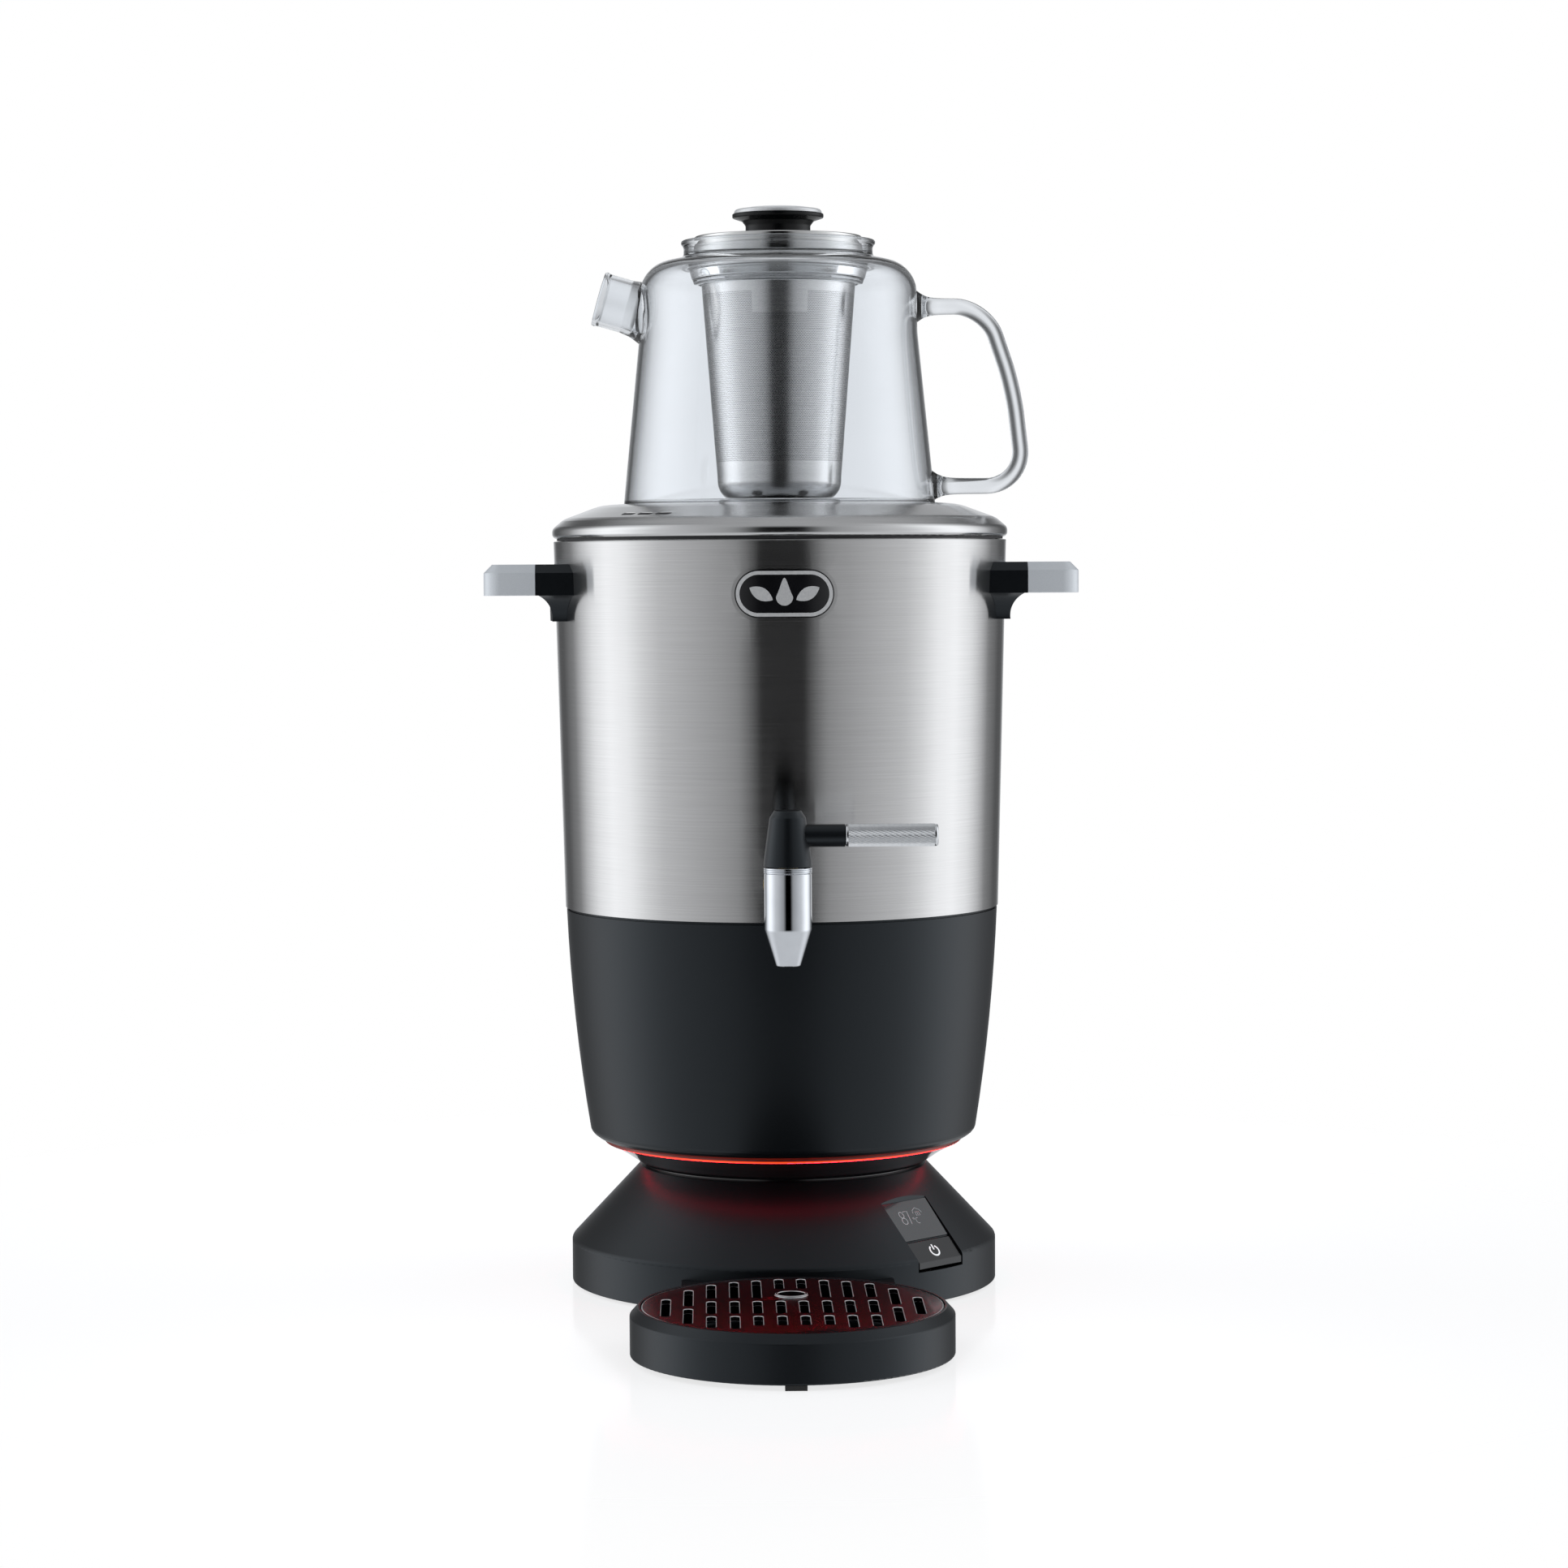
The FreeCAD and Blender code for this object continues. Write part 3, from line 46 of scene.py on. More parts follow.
# ---- camera ---------------------------------------------------------------------------------
# A long lens stands almost two metres in front of the samovar, a little to its left, and looks
# slightly down on it. It leans by a third of a degree.
def set_camera():
    distance, height, azimuth = 1925.5 * MM, 345.9 * MM, radians(-1.05)
    look_down, lean, pan = radians(3.157), radians(-0.333), radians(-0.04)
    film_width, focal_length, nearest = 36.0, 91.98, 50 * MM
    data = bpy.data.cameras.new("camera")
    data.sensor_width = film_width
    data.lens = focal_length
    data.clip_start = nearest
    camera = bpy.data.objects.new("camera", data)
    bpy.context.scene.collection.objects.link(camera)
    camera.location = (distance * sin(azimuth), -distance * cos(azimuth), height)
    turn = Matrix.Rotation(azimuth + pan, 4, "Z") @ Matrix.Rotation(pi / 2 - look_down, 4, "X")
    camera.rotation_euler = (turn @ Matrix.Rotation(lean, 4, "Z")).to_euler()
    bpy.context.scene.camera = camera


set_camera()


# ---- studio ---------------------------------------------------------------------------------
# White floor with a faint sheen that fades into a white background. Tall soft boxes stand left
# and right of the camera with a dark gap between them, and dark cards stand behind the sides.
def add(tree, kind, inputs=(), **settings):
    """Add a shader node; an input may be a number, a colour or another node's socket."""
    made = tree.nodes.new("ShaderNode" + kind)
    for name, value in settings.items():
        setattr(made, name, value)
    for key, value in dict(inputs).items():
        if isinstance(value, bpy.types.NodeSocket):
            tree.links.new(value, made.inputs[key])
        else:
            made.inputs[key].default_value = value
    return made


def calc(tree, operation, first, second=0.0):
    return add(tree, "Math", {0: first, 1: second}, operation=operation).outputs[0]


def ramp(tree, factor, stops):
    """A colour ramp from (place, colour) stops."""
    made = add(tree, "ValToRGB", {0: factor})
    band = made.color_ramp
    band.elements[0].position = stops[0][0]
    band.elements[1].position = stops[-1][0]
    for place, _ in stops[1:-1]:
        band.elements.new(place)
    for element, (_, colour) in zip(band.elements, stops):
        element.color = (*colour, 1)
    return made.outputs[0]


BRIGHTEST = 1.7
# Light levels by the angle in degrees from the camera's side, then those from below and above.
LEVELS = [(0, 0.0), (11, 0.0), (17, 0.19), (23, 0.38), (30, 0.47), (45, 0.62), (55, 0.72),
          (65, 0.83), (76, 1.1), (87, 1.45), (100, 1.6), (113, 1.3), (124, 0.8), (134, 0.32),
          (150, 0.12), (160, 0.12), (168, 0.38), (174, 0.8), (180, 0.9)]
LEVEL_BELOW = 0.75
LEVEL_ABOVE = 0.5


def tinted(level):
    """A studio level as a share of the brightest one, a little cooler than white."""
    share = level / BRIGHTEST
    return (share * 0.98, share, share * 1.03)


def studio_light():
    world = bpy.data.worlds.new("studio")
    bpy.context.scene.world = world
    world.use_nodes = True
    tree = world.node_tree
    tree.nodes.clear()
    split = add(tree, "SeparateXYZ", {0: add(tree, "TexCoord").outputs["Generated"]})
    across = calc(tree, "ABSOLUTE", split.outputs["X"])
    ahead = calc(tree, "MULTIPLY", split.outputs["Y"], -1.0)
    turn = calc(tree, "DIVIDE", calc(tree, "ARCTAN2", across, ahead), pi)
    stops = [(angle / 180, tinted(level)) for angle, level in LEVELS]
    height = split.outputs["Z"]
    down = add(tree, "MapRange", {"Value": height, "From Min": -0.2, "From Max": -0.55}).outputs[0]
    up = add(tree, "MapRange", {"Value": height, "From Min": 0.55, "From Max": 0.95}).outputs[0]
    low = add(tree, "Mix", {0: down, 6: ramp(tree, turn, stops), 7: (*tinted(LEVEL_BELOW), 1)},
              data_type="RGBA").outputs[2]
    high = add(tree, "Mix", {0: up, 6: low, 7: (*tinted(LEVEL_ABOVE), 1)},
               data_type="RGBA").outputs[2]
    lit = add(tree, "Background", {"Color": high, "Strength": BRIGHTEST})
    seen = add(tree, "Background", {"Color": (1, 1, 1, 1), "Strength": 1.0})
    path = add(tree, "LightPath")
    mix = add(tree, "MixShader", {0: path.outputs["Is Camera Ray"], 1: lit.outputs[0],
                                  2: seen.outputs[0]})
    add(tree, "OutputWorld", {0: mix.outputs[0]})


FLOOR_R = 0.65
FLOOR_FADES = (0.30, 0.62)
FLOOR_GLOW = 0.81
FLOOR_SHEEN = 0.10


def floor_paint():
    """Pale matt floor that turns clear between the two radii of FLOOR_FADES."""
    paint = bpy.data.materials.new("white_floor")
    paint.use_nodes = True
    tree = paint.node_tree
    tree.nodes.clear()
    matt = add(tree, "BsdfDiffuse", {"Color": (0.42, 0.42, 0.43, 1)})
    glow = add(tree, "Emission", {"Color": (1, 1, 1, 1), "Strength": FLOOR_GLOW})
    white = add(tree, "AddShader", {0: matt.outputs[0], 1: glow.outputs[0]})
    sheen = add(tree, "BsdfGlossy", {"Color": (1, 1, 1, 1), "Roughness": 0.12})
    body = add(tree, "MixShader", {0: FLOOR_SHEEN, 1: white.outputs[0], 2: sheen.outputs[0]})
    place = add(tree, "TexCoord").outputs["Object"]
    reach = add(tree, "VectorMath", {0: place}, operation="LENGTH").outputs["Value"]
    fade = add(tree, "MapRange", {"Value": reach, "From Min": FLOOR_FADES[0],
                                  "From Max": FLOOR_FADES[1]})
    clear = add(tree, "BsdfTransparent")
    shade = add(tree, "MixShader", {0: fade.outputs[0], 1: body.outputs[0], 2: clear.outputs[0]})
    add(tree, "OutputMaterial", {0: shade.outputs[0]})
    return paint


def make_floor():
    shape = bmesh.new()
    bmesh.ops.create_circle(shape, cap_ends=True, segments=96, radius=FLOOR_R)
    mesh = bpy.data.meshes.new("floor")
    shape.to_mesh(mesh)
    shape.free()
    floor = bpy.data.objects.new("floor", mesh)
    bpy.context.scene.collection.objects.link(floor)
    mesh.materials.append(floor_paint())
    floor.visible_glossy = False
    floor.visible_transmission = False


studio_light()
make_floor()
bpy.context.scene.view_settings.view_transform = "Standard"


# ---- base -----------------------------------------------------------------------------------
# Conical cover moulded in black ABS with a fine spark-eroded texture, closed by a bottom plate
# on five screws. Rubber feet are pressed in underneath and a rubber gland holds the mains lead.
FINE_SHARE = 0.7
WIDE_SHARE = 0.3
WIDE_GRAIN = 14.0


def finish(name, dark, light, rough, grain, bump=0.0, metallic=0.0, detail=3.0, **sockets):
    """A surface whose tone, gloss and relief vary together with one grain.

    dark and light are its two colours, rough its roughness range, grain the grains per metre
    along X, Y and Z, and bump the relief in millimetres.
    """
    paint = bpy.data.materials.new(name)
    paint.use_nodes = True
    tree = paint.node_tree
    shader = tree.nodes["Principled BSDF"]
    place = add(tree, "TexCoord").outputs["Object"]
    spread = add(tree, "Mapping", {"Vector": place, "Scale": grain}).outputs[0]
    noise = add(tree, "TexNoise", {"Vector": spread, "Scale": 1.0, "Detail": detail}).outputs[0]
    wide = add(tree, "TexNoise", {"Vector": place, "Scale": WIDE_GRAIN, "Detail": 2.0}).outputs[0]
    blend = calc(tree, "ADD", calc(tree, "MULTIPLY", noise, FINE_SHARE),
                 calc(tree, "MULTIPLY", wide, WIDE_SHARE))
    level = add(tree, "MapRange", {"Value": blend, "From Min": 0.3, "From Max": 0.7}).outputs[0]
    tone = ramp(tree, level, [(0, dark), (1, light)])
    gloss = add(tree, "MapRange", {"Value": level, "To Min": rough[0], "To Max": rough[1]})
    tree.links.new(tone, shader.inputs["Base Color"])
    tree.links.new(gloss.outputs[0], shader.inputs["Roughness"])
    if bump:
        relief = add(tree, "Bump", {"Height": noise, "Distance": bump * MM, "Strength": 1.0})
        tree.links.new(relief.outputs[0], shader.inputs["Normal"])
    shader.inputs["Metallic"].default_value = metallic
    for key, value in sockets.items():
        shader.inputs[key.replace("_", " ")].default_value = value
    return paint


def dress(paint, *nodes):
    """Give frame parts their finish."""
    for node in nodes:
        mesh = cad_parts[node].data
        mesh.materials.clear()
        mesh.materials.append(paint)


black_plastic = finish("black_moulded_plastic", (0.0030, 0.0036, 0.0046), (0.0045, 0.0053, 0.0066),
                       (0.30, 0.36), (1400, 1400, 1400), bump=0.006, Specular_IOR_Level=0.4,
                       Specular_Tint=(0.82, 0.92, 1.0, 1.0))
rubber = finish("moulded_rubber", (0.010, 0.010, 0.010), (0.022, 0.022, 0.022), (0.62, 0.8),
                (900, 900, 900), bump=0.03)
zinc_plate = finish("zinc_plated_steel", (0.36, 0.37, 0.39), (0.58, 0.58, 0.57), (0.24, 0.4),
                    (500, 500, 500), bump=0.01, metallic=1.0)
dress(black_plastic, "base_cover", "base_plate")
dress(rubber, "base_feet", "cord_gland")
dress(zinc_plate, "base_screws")


# ---- electrics in the base ------------------------------------------------------------------
# A mains terminal block of white nylon, a green power board with a relay and converter, and
# wires in braided sleeves that rise through the neck to the heater.
def board_finish():
    """Solder mask over copper: a fine grid of traces shows lighter green under it."""
    paint = finish("soldered_board", (0.008, 0.06, 0.025), (0.014, 0.10, 0.04), (0.25, 0.4),
                   (300, 300, 300), bump=0.01)
    tree = paint.node_tree
    shader = tree.nodes["Principled BSDF"]
    place = add(tree, "TexCoord").outputs["Object"]
    traces = add(tree, "TexBrick", {"Vector": place, "Scale": 160.0, "Mortar Size": 0.06,
                                    "Color1": (0.010, 0.075, 0.03, 1),
                                    "Color2": (0.013, 0.09, 0.035, 1),
                                    "Mortar": (0.05, 0.22, 0.08, 1)})
    tree.links.new(traces.outputs[0], shader.inputs["Base Color"])
    return paint


def sleeve_finish():
    """Crossed threads of a glass-fibre sleeve."""
    paint = finish("braided_sleeve", (0.03, 0.03, 0.033), (0.09, 0.09, 0.095), (0.6, 0.8),
                   (1200, 1200, 1200))
    tree = paint.node_tree
    place = add(tree, "TexCoord").outputs["Object"]
    threads = add(tree, "TexWave", {"Vector": place, "Scale": 260.0}, bands_direction="DIAGONAL")
    relief = add(tree, "Bump", {"Height": threads.outputs[1], "Distance": 0.15 * MM})
    tree.links.new(relief.outputs[0], tree.nodes["Principled BSDF"].inputs["Normal"])
    return paint


white_nylon = finish("white_nylon", (0.62, 0.61, 0.58), (0.72, 0.71, 0.69), (0.45, 0.6),
                     (700, 700, 700), bump=0.01)
green_board = board_finish()
dress(white_nylon, "terminal_block")
dress(green_board, "power_board")
dress(sleeve_finish(), "wiring")


# ---- control panel --------------------------------------------------------------------------
# A flat strip let into the cone: a tinted acrylic display pane above and a moulded key below
# that wraps over the front edge. A carrier behind them holds the display, board and switch.
PANEL_AZIMUTH = radians(45.4)
PANEL_SLOPE = radians(47.5)
PANEL_TOP_R = 78.2
PANEL_TOP_Z = 45.3
PRINT_HEIGHT = 0.02
PRINT_THICK = 0.06
NUMBER_WIDTH = 0.36
SIGN_WIDTH = 0.24
POWER_SIGN_WIDTH = 0.8
WELD = 0.001 * MM


def panel_turn():
    """From panel axes (X right, Y up the slope, Z outwards) in millimetres to the frame."""
    outward = Vector((sin(PANEL_AZIMUTH), -cos(PANEL_AZIMUTH), 0))
    right = Vector((cos(PANEL_AZIMUTH), sin(PANEL_AZIMUTH), 0))
    rise = Vector((0, 0, 1))
    up_slope = rise * sin(PANEL_SLOPE) - outward * cos(PANEL_SLOPE)
    normal = outward * sin(PANEL_SLOPE) + rise * cos(PANEL_SLOPE)
    turn = Matrix((right, up_slope, normal)).transposed().to_4x4()
    place = Matrix.Translation(outward * PANEL_TOP_R + rise * PANEL_TOP_Z)
    return Matrix.Scale(MM, 4) @ place @ turn


def piece(name, shape, paint, body, stands_for=(), sharp=32, turn_out=True):
    """Turn a bmesh into a finished piece that rides on a body; sharp is in degrees."""
    bmesh.ops.remove_doubles(shape, verts=shape.verts, dist=WELD)
    if turn_out:
        bmesh.ops.recalc_face_normals(shape, faces=shape.faces)
    for side in shape.faces:
        side.smooth = True
    mesh = bpy.data.meshes.new(name)
    shape.to_mesh(mesh)
    shape.free()
    mesh.set_sharp_from_angle(angle=radians(sharp))
    made = bpy.data.objects.new(name, mesh)
    bpy.context.scene.collection.objects.link(made)
    mesh.materials.append(paint)
    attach(made, body)
    if stands_for:
        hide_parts(*stands_for)
    return made


def verts_of(geometry):
    """The vertices among what an operator made."""
    return [g for g in geometry if isinstance(g, bmesh.types.BMVert)]


def stroke(shape, points, width, thick, closed=False):
    """A flat bar of even width along a line of points, as printed or inlaid marks are."""
    count = len(points)
    rows = []
    for i, (x, y) in enumerate(points):
        back = points[i - 1] if i or closed else points[i]
        ahead = points[(i + 1) % count] if i < count - 1 or closed else points[i]
        along = Vector((ahead[0] - back[0], ahead[1] - back[1])).normalized()
        off = Vector((-along.y, along.x)) * width / 2
        rows.append([shape.verts.new((x + off.x, y + off.y, 0)),
                     shape.verts.new((x - off.x, y - off.y, 0))])
    pairs = list(zip(rows, rows[1:])) + ([(rows[-1], rows[0])] if closed else [])
    made = [shape.faces.new((a[0], a[1], b[1], b[0])) for a, b in pairs]
    grown = bmesh.ops.extrude_face_region(shape, geom=made)["geom"]
    bmesh.ops.translate(shape, vec=(0, 0, thick), verts=verts_of(grown))


def arc(x, y, radius, start, end, steps=24, tall=1.0):
    """Points along an arc, angles in degrees; tall stretches it along Y."""
    angles = [radians(start + (end - start) * k / steps) for k in range(steps + 1)]
    return [(x + radius * cos(a), y + radius * tall * sin(a)) for a in angles]


def mark(name, strokes, paint, body, width):
    """Marks printed a hair above the panel's flat; strokes are (points, closed)."""
    shape = bmesh.new()
    for points, closed in strokes:
        stroke(shape, points, width, PRINT_THICK, closed)
    bmesh.ops.translate(shape, vec=(0, 0, PRINT_HEIGHT), verts=shape.verts)
    bmesh.ops.transform(shape, matrix=panel_turn(), verts=shape.verts)
    return piece(name, shape, paint, body)


def display_strokes():
    """The temperature 87, then a degree sign with a C and a hood over rising steam."""
    eight_top = arc(-7.1, -6.7, 1.4, 0, 345, tall=1.2)
    eight_low = arc(-7.1, -10.2, 1.6, 0, 345, tall=1.1)
    seven = [(-5.2, -5.1), (-2.3, -5.1), (-3.7, -12.2)]
    degree = arc(-0.6, -9.5, 0.45, 0, 330, steps=12)
    letter = arc(1.5, -10.9, 1.15, 55, 305, tall=1.35)
    hood = [(0.9, -7.0), (1.5, -5.3), (3.9, -4.0), (6.3, -5.3), (6.9, -7.0)]
    steam = [[(2.6 + k, -6.0), (2.9 + k, -6.9), (2.6 + k, -7.8), (2.9 + k, -8.5)]
             for k in (0.0, 1.15, 2.3)]
    main = [(eight_top, True), (eight_low, True), (seven, False)]
    return main, [(degree, True), (letter, False), (hood, False)] + [(s, False) for s in steam]


def lit_mark(name, colour, strength):
    """A mark that glows in its own colour."""
    paint = finish(name, colour, tuple(c * 1.15 for c in colour), (0.4, 0.5), (900, 900, 900))
    shader = paint.node_tree.nodes["Principled BSDF"]
    shader.inputs["Emission Color"].default_value = (*colour, 1)
    shader.inputs["Emission Strength"].default_value = strength
    return paint


display_glass = finish("tinted_acrylic", (0.012, 0.015, 0.019), (0.017, 0.021, 0.026),
                       (0.1, 0.16), (60, 60, 60), Coat_Weight=0.6, Coat_Roughness=0.04)
key_plastic = finish("satin_key_plastic", (0.005, 0.006, 0.0075), (0.008, 0.0095, 0.0115),
                     (0.27, 0.33), (1600, 1600, 1600), bump=0.008)
dress(display_glass, "display_window")
dress(key_plastic, "power_button")
dress(black_plastic, "panel_frame")
dress(green_board, "control_board")
dress(white_nylon, "button_switch", "switch_plunger")
numbers, small_signs = display_strokes()
dim_segment = lit_mark("dim_segment", (0.34, 0.36, 0.38), 0.35)
mark("display_numbers", numbers, dim_segment, "samovar", NUMBER_WIDTH)
mark("display_signs", small_signs, dim_segment, "samovar", SIGN_WIDTH)
# White print whose faint glow is painted light; the white itself is the print's own colour.
white_print_painted_glow = lit_mark("white_print_painted_glow", (0.78, 0.80, 0.82), 0.5)
power_sign = [(arc(0, -28.1, 2.7, 122, 418, steps=32), False), ([(0, -27.6), (0, -24.7)], False)]
mark("power_symbol", power_sign, white_print_painted_glow, "power_button", POWER_SIGN_WIDTH)


# ---- neck and light ring --------------------------------------------------------------------
# A glossy black bowl joins the base to the housing. A translucent ring above its rim spreads
# the red light of the diodes behind it.
RING_EDGE_Z = (69.55, 69.15)
RING_SIDE_SHADE = (64, 28)
RING_DOWN = (-0.8, -0.95)
EDGE_GLOW = 2.2
CONE_GLOW = 10.0


def ring_light():
    """Red where it shows under the housing, crimson and stronger where it faces the cone.

    The outer face is lit along its lower edge only. Its light fades towards the sides as painted
    shade, where the housing's edge hides the ring. Each pair above gives where the light sets in
    and where it is full, in height in millimetres, in degrees from the front and in how far down
    the surface looks.
    """
    paint = finish("lit_red_diffuser", (0.20, 0.012, 0.006), (0.28, 0.02, 0.01), (0.3, 0.45),
                   (400, 400, 400))
    tree = paint.node_tree
    shader = tree.nodes["Principled BSDF"]
    facing = add(tree, "SeparateXYZ", {0: add(tree, "NewGeometry").outputs["Normal"]}).outputs["Z"]
    down = add(tree, "MapRange", {"Value": facing, "From Min": RING_DOWN[0],
                                  "From Max": RING_DOWN[1]}).outputs[0]
    x, y, z = add(tree, "SeparateXYZ", {0: add(tree, "TexCoord").outputs["Object"]}).outputs
    line = add(tree, "MapRange", {"Value": z, "From Min": RING_EDGE_Z[0] * MM,
                                  "From Max": RING_EDGE_Z[1] * MM})
    # Painted shade: the glow fades with the angle from the front, where the housing hides the
    # ring.
    turn = calc(tree, "ARCTAN2", calc(tree, "ABSOLUTE", x), calc(tree, "MULTIPLY", y, -1.0))
    front = add(tree, "MapRange", {"Value": turn, "From Min": radians(RING_SIDE_SHADE[0]),
                                   "From Max": radians(RING_SIDE_SHADE[1])})
    lit = calc(tree, "MULTIPLY", line.outputs[0], front.outputs[0])
    outer = calc(tree, "MULTIPLY", lit, EDGE_GLOW)
    strength = add(tree, "Mix", {0: down, 2: outer, 3: CONE_GLOW}).outputs[0]
    colour = ramp(tree, down, [(0, (1.0, 0.045, 0.005)), (1, (1.0, 0.012, 0.05))])
    tree.links.new(colour, shader.inputs["Emission Color"])
    tree.links.new(strength, shader.inputs["Emission Strength"])
    return paint


gloss_black = finish("glossy_black_plastic", (0.006, 0.006, 0.007), (0.010, 0.010, 0.011),
                     (0.12, 0.2), (200, 200, 200), Coat_Weight=0.4, Coat_Roughness=0.05)
dress(gloss_black, "neck_bowl")
dress(ring_light(), "light_ring")
dress(green_board, "led_board")


# ---- lower housing and heater ---------------------------------------------------------------
# A black moulded cup under the tank hides three steel columns, the tie bolts, and the element
# clamped under its cast aluminium plate with a thermostat, a fuse and a probe.
cast_aluminium = finish("cast_aluminium", (0.50, 0.51, 0.52), (0.66, 0.67, 0.68), (0.35, 0.55),
                        (350, 350, 350), bump=0.05, metallic=1.0)
heat_tinted = finish("heat_tinted_steel", (0.42, 0.36, 0.28), (0.60, 0.58, 0.55), (0.2, 0.35),
                     (90, 90, 90), bump=0.01, metallic=1.0)
dress(black_plastic, "lower_housing")
dress(zinc_plate, "support_columns", "tie_bolts", "heat_shield")
dress(cast_aluminium, "heater_plate")
dress(heat_tinted, "heater_element", "boil_dry_thermostat", "thermal_fuse", "temperature_probe")


# ---- tank -----------------------------------------------------------------------------------
# The outer shell is rolled stainless sheet, brushed round and round, with a raised pad for the
# badge. The water pot inside is drawn, with a welded floor, and its rim rests on the shell.
def brushed(name, dark, light, rough, streak, bump, turn=0.25, anisotropic=0.75):
    """Steel brushed round the Z axis: hairlines lie level and stretch reflections upwards."""
    paint = finish(name, dark, light, rough, streak, bump=bump, metallic=1.0, detail=4.0)
    tree = paint.node_tree
    shader = tree.nodes["Principled BSDF"]
    shader.inputs["Anisotropic"].default_value = anisotropic
    shader.inputs["Anisotropic Rotation"].default_value = turn
    tangent = add(tree, "Tangent", direction_type="RADIAL", axis="Z")
    tree.links.new(tangent.outputs[0], shader.inputs["Tangent"])
    return paint


tank_steel = brushed("brushed_tank_steel", (0.53, 0.525, 0.52), (0.60, 0.595, 0.59), (0.15, 0.19),
                     (26, 26, 3600), 0.0006, anisotropic=0.93)
drawn_steel = brushed("drawn_steel", (0.48, 0.48, 0.48), (0.60, 0.60, 0.59), (0.2, 0.3),
                      (40, 40, 900), 0.002)
dress(tank_steel, "steel_shell")
dress(drawn_steel, "water_vessel", "vessel_floor")


# ---- badge ----------------------------------------------------------------------------------
# A stadium-shaped enamelled plate with a bright inlaid ring. A drop between two tea leaves is
# cut from steel sheet and laid in the middle; it follows the curve of the tank.
BADGE_Z = 332.0
BADGE_CURVE_R = 108.93
EMBLEM_THICK = 0.2
DROP_R = 3.9
DROP_BELOW = 1.5
TIP_RISE = 1.25
TIP_PINCH = 0.35
LEAF_OUT = 10.6
LEAF_LENGTH = 12.0
LEAF_WIDTH = 5.8
LEAF_LEAN = 28
LEAF_FULLNESS = 0.8


def outline_plate(shape, points, thick):
    """A flat plate in the XZ plane from its outline."""
    corners = [shape.verts.new((x * MM, 0, z * MM)) for x, z in points]
    face = shape.faces.new(corners)
    made = bmesh.ops.extrude_face_region(shape, geom=[face])["geom"]
    bmesh.ops.translate(shape, vec=(0, -thick * MM, 0), verts=verts_of(made))


def leaf(x, z, length, width, lean, steps=14):
    """A pointed oval: two arcs that meet at its tip and its stalk."""
    lean = radians(lean)
    points = []
    for k in range(2 * steps):
        side = 1 if k < steps else -1
        t = k / steps if k < steps else 2 - k / steps
        along, across = (t - 0.5) * length, side * width / 2 * sin(pi * t) ** LEAF_FULLNESS
        points.append((x + along * cos(lean) - across * sin(lean),
                       z + along * sin(lean) + across * cos(lean)))
    return points


def water_drop(x, z, radius, steps=28):
    """A round drop whose upper side runs out into a point."""
    points = []
    for k in range(steps):
        a = 2 * pi * k / steps - pi / 2
        upper = max(0.0, sin(a))
        lift = TIP_RISE * radius * upper ** 3
        points.append((x + radius * cos(a) * (1 - TIP_PINCH * upper), z + radius * sin(a) + lift))
    return points


def bend_onto_tank(shape):
    """Push a plate from the XZ plane onto the badge's curved face."""
    for v in shape.verts:
        v.co.y -= sqrt((BADGE_CURVE_R * MM) ** 2 - v.co.x ** 2)


enamel = finish("black_enamel", (0.006, 0.006, 0.007), (0.010, 0.010, 0.012), (0.08, 0.16),
                (120, 120, 120), Coat_Weight=0.5, Coat_Roughness=0.03)
bright_chrome = finish("bright_chrome", (0.60, 0.62, 0.65), (0.66, 0.68, 0.71), (0.03, 0.08),
                       (120, 120, 120), metallic=1.0)
inlay_steel = finish("inlaid_steel", (0.66, 0.67, 0.68), (0.80, 0.80, 0.80), (0.44, 0.54),
                     (1200, 1200, 1200), bump=0.002, metallic=0.55)
dress(enamel, "badge_plate")
dress(inlay_steel, "badge_ring")
emblem = bmesh.new()
outline_plate(emblem, water_drop(0, BADGE_Z - DROP_BELOW, DROP_R), EMBLEM_THICK)
for side in (1, -1):
    leaf_edge = leaf(side * LEAF_OUT, BADGE_Z, LEAF_LENGTH, LEAF_WIDTH, side * LEAF_LEAN)
    outline_plate(emblem, leaf_edge, EMBLEM_THICK)
bend_onto_tank(emblem)
piece("badge_emblem", emblem, inlay_steel, "samovar")


# ---- side handles ---------------------------------------------------------------------------
# Each grip is a die-cast loop in satin chrome with chamfered upper edges, bolted through a black
# bracket whose saddle is screwed to the tank. All their edges are broken by a small radius.
GRIP_EDGE = 0.7
BRACKET_EDGE = 0.5


def softened(node, paint, body, width, segments=3, angle=24, weld=2e-6, clamp=True):
    """A frame part with its edges rounded: the same shape, welded, with a bevel over it."""
    shape = bmesh.new()
    shape.from_mesh(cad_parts[node].data)
    bmesh.ops.remove_doubles(shape, verts=shape.verts, dist=weld)
    bmesh.ops.dissolve_limit(shape, angle_limit=radians(0.5), verts=shape.verts, edges=shape.edges)
    made = piece(node + "_body", shape, paint, body, (node,), turn_out=False)
    rounding = made.modifiers.new("edges", "BEVEL")
    rounding.width = width * MM
    rounding.segments = segments
    rounding.limit_method = "ANGLE"
    rounding.angle_limit = radians(angle)
    rounding.harden_normals = True
    rounding.use_clamp_overlap = clamp
    return made


satin_chrome = finish("satin_chrome", (0.76, 0.80, 0.84), (0.82, 0.86, 0.90), (0.30, 0.38),
                      (1800, 1800, 1800), bump=0.001, metallic=0.08, Specular_IOR_Level=0.9)
dress(zinc_plate, "handle_screws")
for side in ("left", "right"):
    softened(side + "_handle_grip", satin_chrome, "samovar", GRIP_EDGE)
    softened(side + "_handle_bracket", black_plastic, "samovar", BRACKET_EDGE)


